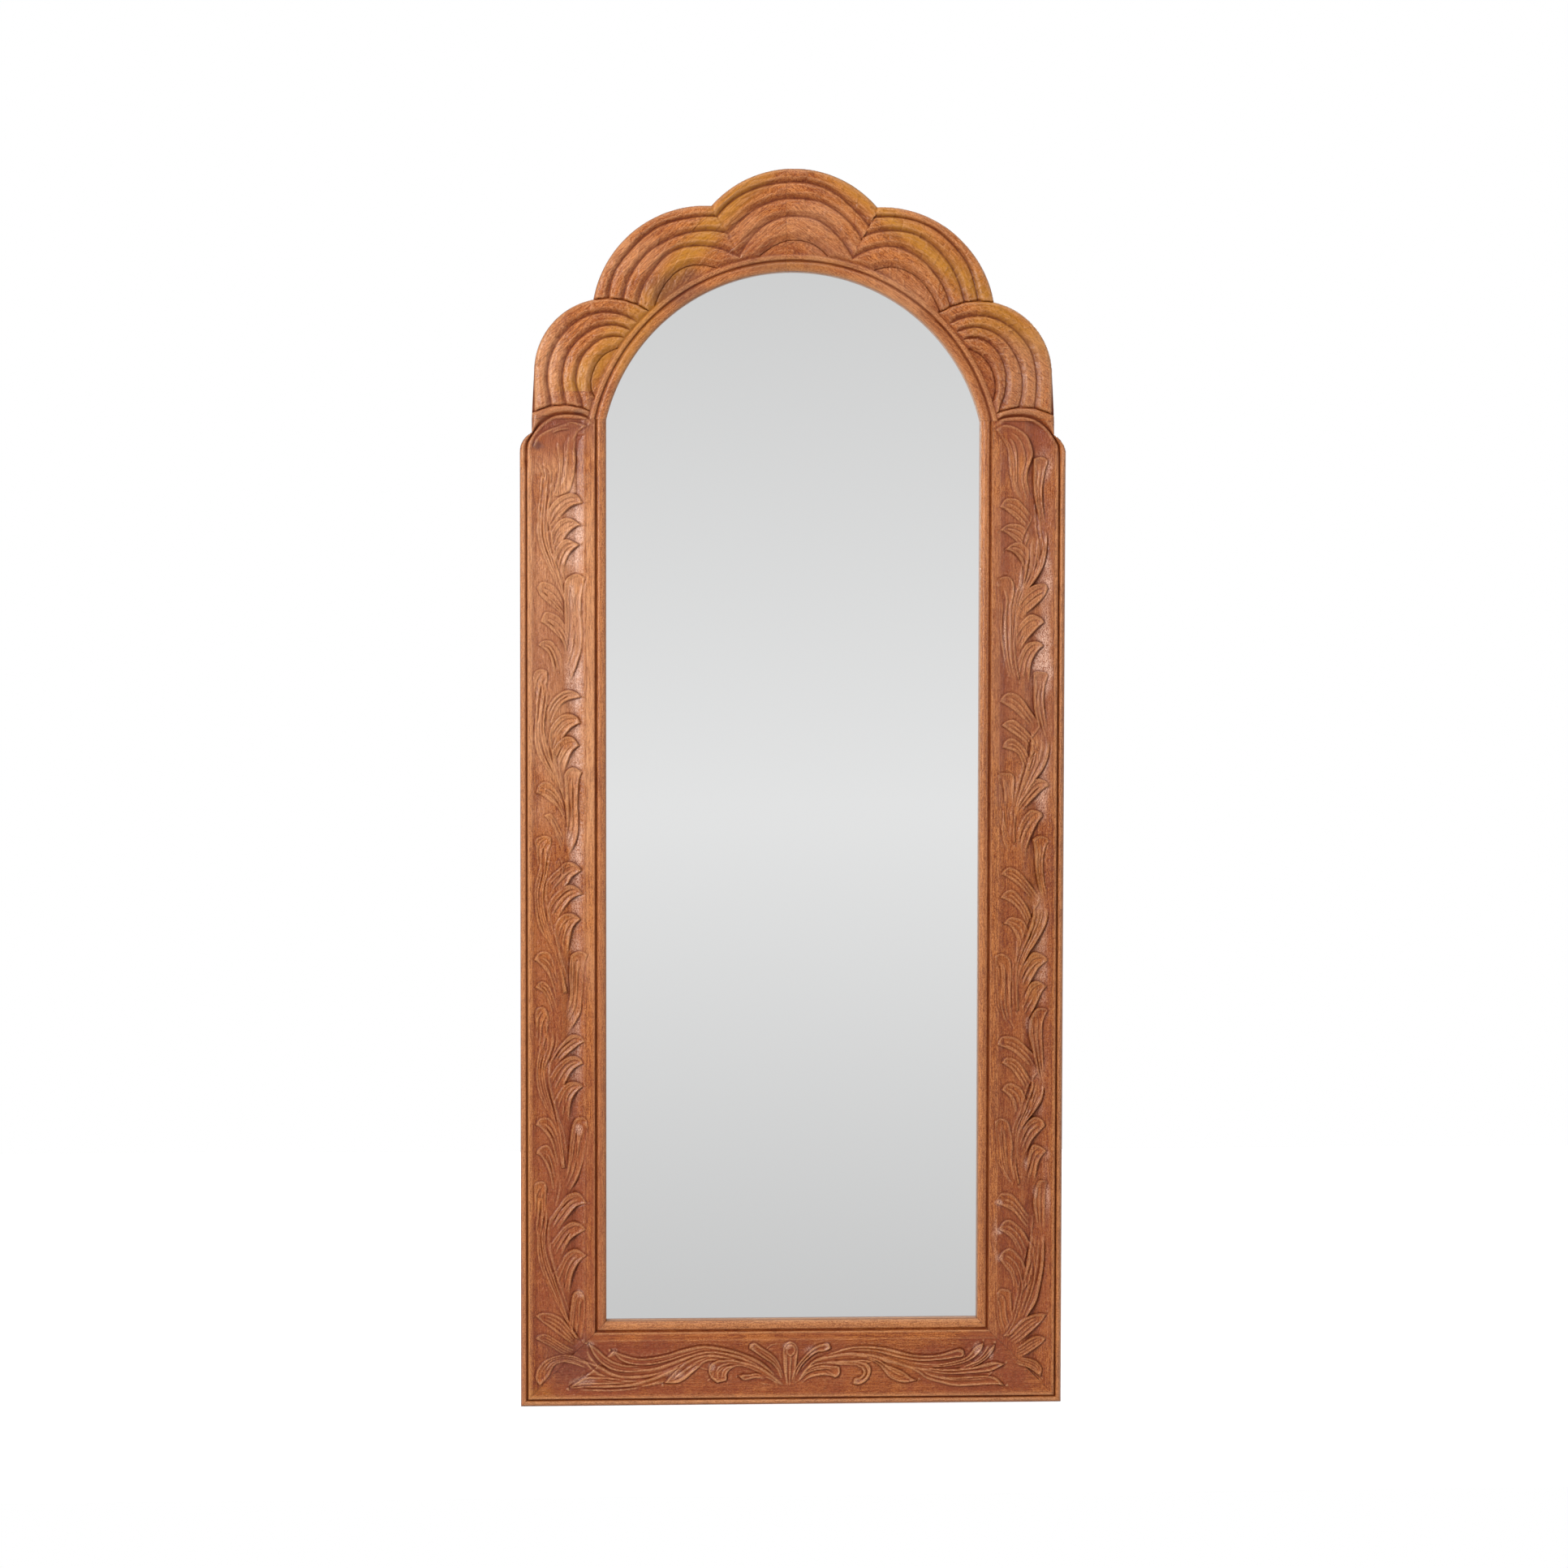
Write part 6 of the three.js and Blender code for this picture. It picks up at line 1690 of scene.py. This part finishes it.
# All fittings of a kind that stand for some nodes: from the top of a head down, or from a foot up
def turnedPieces(name, start, tree, settings, onHead):
    nodes = [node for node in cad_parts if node.startswith(start)]
    points = []
    for node in nodes:
        low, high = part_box(node)
        seat = high[1] - settings["Height"] if onHead else low[1]
        points.append(((low[0] + high[0]) / 2, seat, (low[2] + high[2]) / 2))
    obj = grow(name, points, [], tree, settings)
    sharpen(obj)
    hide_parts(*nodes)
    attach(obj, "frame")
    print("fittings", name, len(nodes), len(obj.data.polygons), flush=True)


# Sizes in metres
screw = {"Inner Radius": .0015, "Outer Radius": .0036, "Height": .0022, "Sides": 28, "Cross Width": .0008,
         "Cross Depth": .0013, "Seed": 5, "Material": finishes["screw"]}
hangerScrew = {**screw, "Depth": .016, "Seed": 8}
foot = {"Inner Radius": .0016, "Outer Radius": .007, "Height": .008, "Depth": 0.0, "Sides": 36, "Seed": 1,
        "Material": finishes["bumper"]}
screwTree, footTree = turnedTree("screw", True), turnedTree("foot", False)
turnedPieces("panel_screws", "panel_screw_", screwTree, {**screw, "Depth": .015}, True)
turnedPieces("hanger_screws", "hanger_screw_", screwTree, hangerScrew, True)
turnedPieces("rubber_feet", "bumper_", footTree, foot, False)


# Hangers: a strap rolled round the ring's bar, and a ring of bent wire with its gap inside the roll
hanger = {
    "x": 350.5, "y": 18.35, "z": 1330.0, "rollRadius": 3.35, "bore": 1.85, "thickness": 1.5, "halfWidth": 9.0,
    "length": 54.0, "corner": 6.5, "edge": .25, "wire": 1.75, "ringHalf": 18.0, "ringDrop": 27.0,
    "ringCorner": 4.0, "ringLeg": 8.0, "slit": .6,
}


def circle(y, z, radius, start, end, count):
    return [(y + radius * math.cos(a), z + radius * math.sin(a)) for a in np.linspace(start, end, count)]


def strapPiece(side, sideName):
    h = hanger
    roll, corner, wall = h["rollRadius"], h["corner"], h["y"] - h["rollRadius"]
    low, centre = h["z"] - h["length"], side * h["x"]
    left, right = centre - h["halfWidth"], centre + h["halfWidth"]
    outline = circle(h["y"], h["z"], roll, -math.pi / 2, math.pi, 44)
    outline += [(wall, low), (wall + h["thickness"], low), (wall + h["thickness"], h["z"] - roll)]
    obj = barAlongX(f"hanger_strap_{sideName}_rolled", outline, left, right)
    bore = circle(h["y"], h["z"], h["bore"], 0, math.tau, 37)[:-1]
    booleanCut(obj, barAlongX("bore", bore, centre - 20, centre + 20), "DIFFERENCE")
    shape = [(right, h["z"] + 20), (left, h["z"] + 20)]
    shape += circle(left + corner, low + corner, corner, math.pi, 1.5 * math.pi, 10)
    shape += circle(right - corner, low + corner, corner, 1.5 * math.pi, math.tau, 10)
    booleanCut(obj, prism(shape, -20, 10), "INTERSECT")
    rounded = obj.modifiers.new("edges", "BEVEL")
    rounded.width, rounded.segments, rounded.limit_method = h["edge"] / 1000, 2, "ANGLE"
    rounded.angle_limit = math.radians(50)
    applyModifiers(obj)
    sharpen(obj, 30)
    obj.data.materials.clear()
    obj.data.materials.append(finishes["hanger_strap"])
    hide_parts(f"hanger_strap_{sideName}")
    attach(obj, "frame")


def ringPiece(side, sideName):
    h = hanger
    half, leg, corner = h["ringHalf"], h["ringLeg"], h["ringCorner"]
    bow = [(half * math.cos(angle), -leg - (h["ringDrop"] - leg) * math.sin(angle))
           for angle in np.linspace(0, math.pi / 2, 9)[:-1]]
    turn = corner * (1 - math.sqrt(.5))
    flank = [(h["slit"] / 2, 0), (h["halfWidth"], 0), (half - corner, 0), (half - turn, -turn),
             (half, -corner), *bow]
    path = smoothPath([*flank, (0, -h["ringDrop"]), *[(-x, z) for x, z in flank[::-1]]], .5)
    points = [((side * h["x"] + x) / 1000, h["y"] / 1000, (h["z"] + z) / 1000) for x, z in path]
    edges = [(i, i + 1) for i in range(len(points) - 1)]
    obj = grow(f"hanger_ring_{sideName}_wire", points, edges, ringTree,
               {"Wire Radius": h["wire"] / 1000, "Sides": 20, "Material": finishes["hanger_ring"]})
    sharpen(obj, 50)
    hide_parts(f"hanger_ring_{sideName}")
    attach(obj, f"ring_{sideName}")
    print("hanger", sideName, len(obj.data.polygons), flush=True)


ringTree = wireTree("bent wire")
for side, sideName in ((-1, "left"), (1, "right")):
    strapPiece(side, sideName)
    ringPiece(side, sideName)


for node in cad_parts:
    for key, material in finishes.items():
        if key in node:
            for slot in bpy.data.objects[node].material_slots:
                slot.material = material
print("stage: finishes", flush=True)


# Floor, white surroundings and lamps
stageLook = {
    "surround": .46, "floorGlow": .62, "floor": [(-3, -.55, 0), (3, -.55, 0), (3, 2.5, 0), (-3, 2.5, 0)],
    # greys that the mirror shows, from below to above
    "greys": [(0, .40), (.40, .63), (.475, .85), (.555, .69), (.70, .40), (1, .60)],
    # each lamp's place, the point it faces, its width and height, its watts and its colour
    "lamps": {
        "key": ((-2.6, -2.7, 2.0), (0, 0, 1.0), .8, 2.3, 98.0, (1, .985, .965)),
        "fill": ((3.0, -3.0, 1.4), (0, 0, .9), 1.4, 2.0, 16.0, (.97, .985, 1)),
        "top": ((0.2, -1.2, 3.4), (0, 0, 1.2), 2.0, 1.0, 14.0, (1, 1, 1)),
        "behind": ((0.6, 3.2, 2.4), (0, 0, .9), 2.4, 1.6, 55.0, (1, 1, 1)),
    },
}
floorMesh = bpy.data.meshes.new("floor")
floorMesh.from_pydata(stageLook["floor"], [], [(0, 1, 2, 3)])
floor = newObject("floor", floorMesh)
material, tree, shader = startMaterial("white_floor")
connect(tree, shader, Base_Color=(.8, .8, .8), Roughness=.9)
path = tree.nodes.new("ShaderNodeLightPath")
seen = Value(tree, path.outputs["Is Camera Ray"])
glow = make(tree, "ShaderNodeEmission", None, {"Color": (1, 1, 1), "Strength": stageLook["floorGlow"]})
both = make(tree, "ShaderNodeAddShader", None, {0: Value(tree, shader.outputs[0]), 1: glow})
mixed = make(tree, "ShaderNodeMixShader", None, {0: seen, 1: Value(tree, shader.outputs[0]), 2: both})
tree.links.new(mixed.socket, tree.nodes["Material Output"].inputs["Surface"])
floorMesh.materials.append(material)

world = bpy.data.worlds.new("white_room")
bpy.context.scene.world = world
world.use_nodes = True
tree = world.node_tree
tree.nodes.clear()
path = tree.nodes.new("ShaderNodeLightPath")
cameraRay, glossyRay = (Value(tree, path.outputs[kind]) for kind in ("Is Camera Ray", "Is Glossy Ray"))
direction = make(tree, "ShaderNodeTexCoord", None, None, "Generated")
up = make(tree, "ShaderNodeSeparateXYZ", None, {"Vector": direction}, "Z")
greys = [(place, (tone, tone, tone)) for place, tone in stageLook["greys"]]
grey = make(tree, "ShaderNodeValToRGB", {"stops": greys}, {"Fac": up * .5 + .5})
soft, mirrorView, white = (
    make(tree, "ShaderNodeBackground", None, {"Color": colour, "Strength": strength})
    for colour, strength in (((1, 1, 1), stageLook["surround"]), (grey, 1.0), ((1, 1, 1), 1.0)))
glossy = make(tree, "ShaderNodeMixShader", None, {0: glossyRay, 1: soft, 2: mirrorView})
final = make(tree, "ShaderNodeMixShader", None, {0: cameraRay, 1: glossy, 2: white})
out = tree.nodes.new("ShaderNodeOutputWorld")
tree.links.new(final.socket, out.inputs["Surface"])


def lamp(name, place, target, width, height, watts, colour):
    light = bpy.data.lights.new(name, "AREA")
    light.shape, light.size, light.size_y = "RECTANGLE", width, height
    light.energy, light.color = watts, colour
    direction = Vector(target) - Vector(place)
    turned = direction.to_track_quat("-Z", "Y").to_matrix().to_4x4()
    newObject(name, light).matrix_world = Matrix.Translation(place) @ turned


for name, look in stageLook["lamps"].items():
    lamp(name, *look)
print("stage: lights", flush=True)
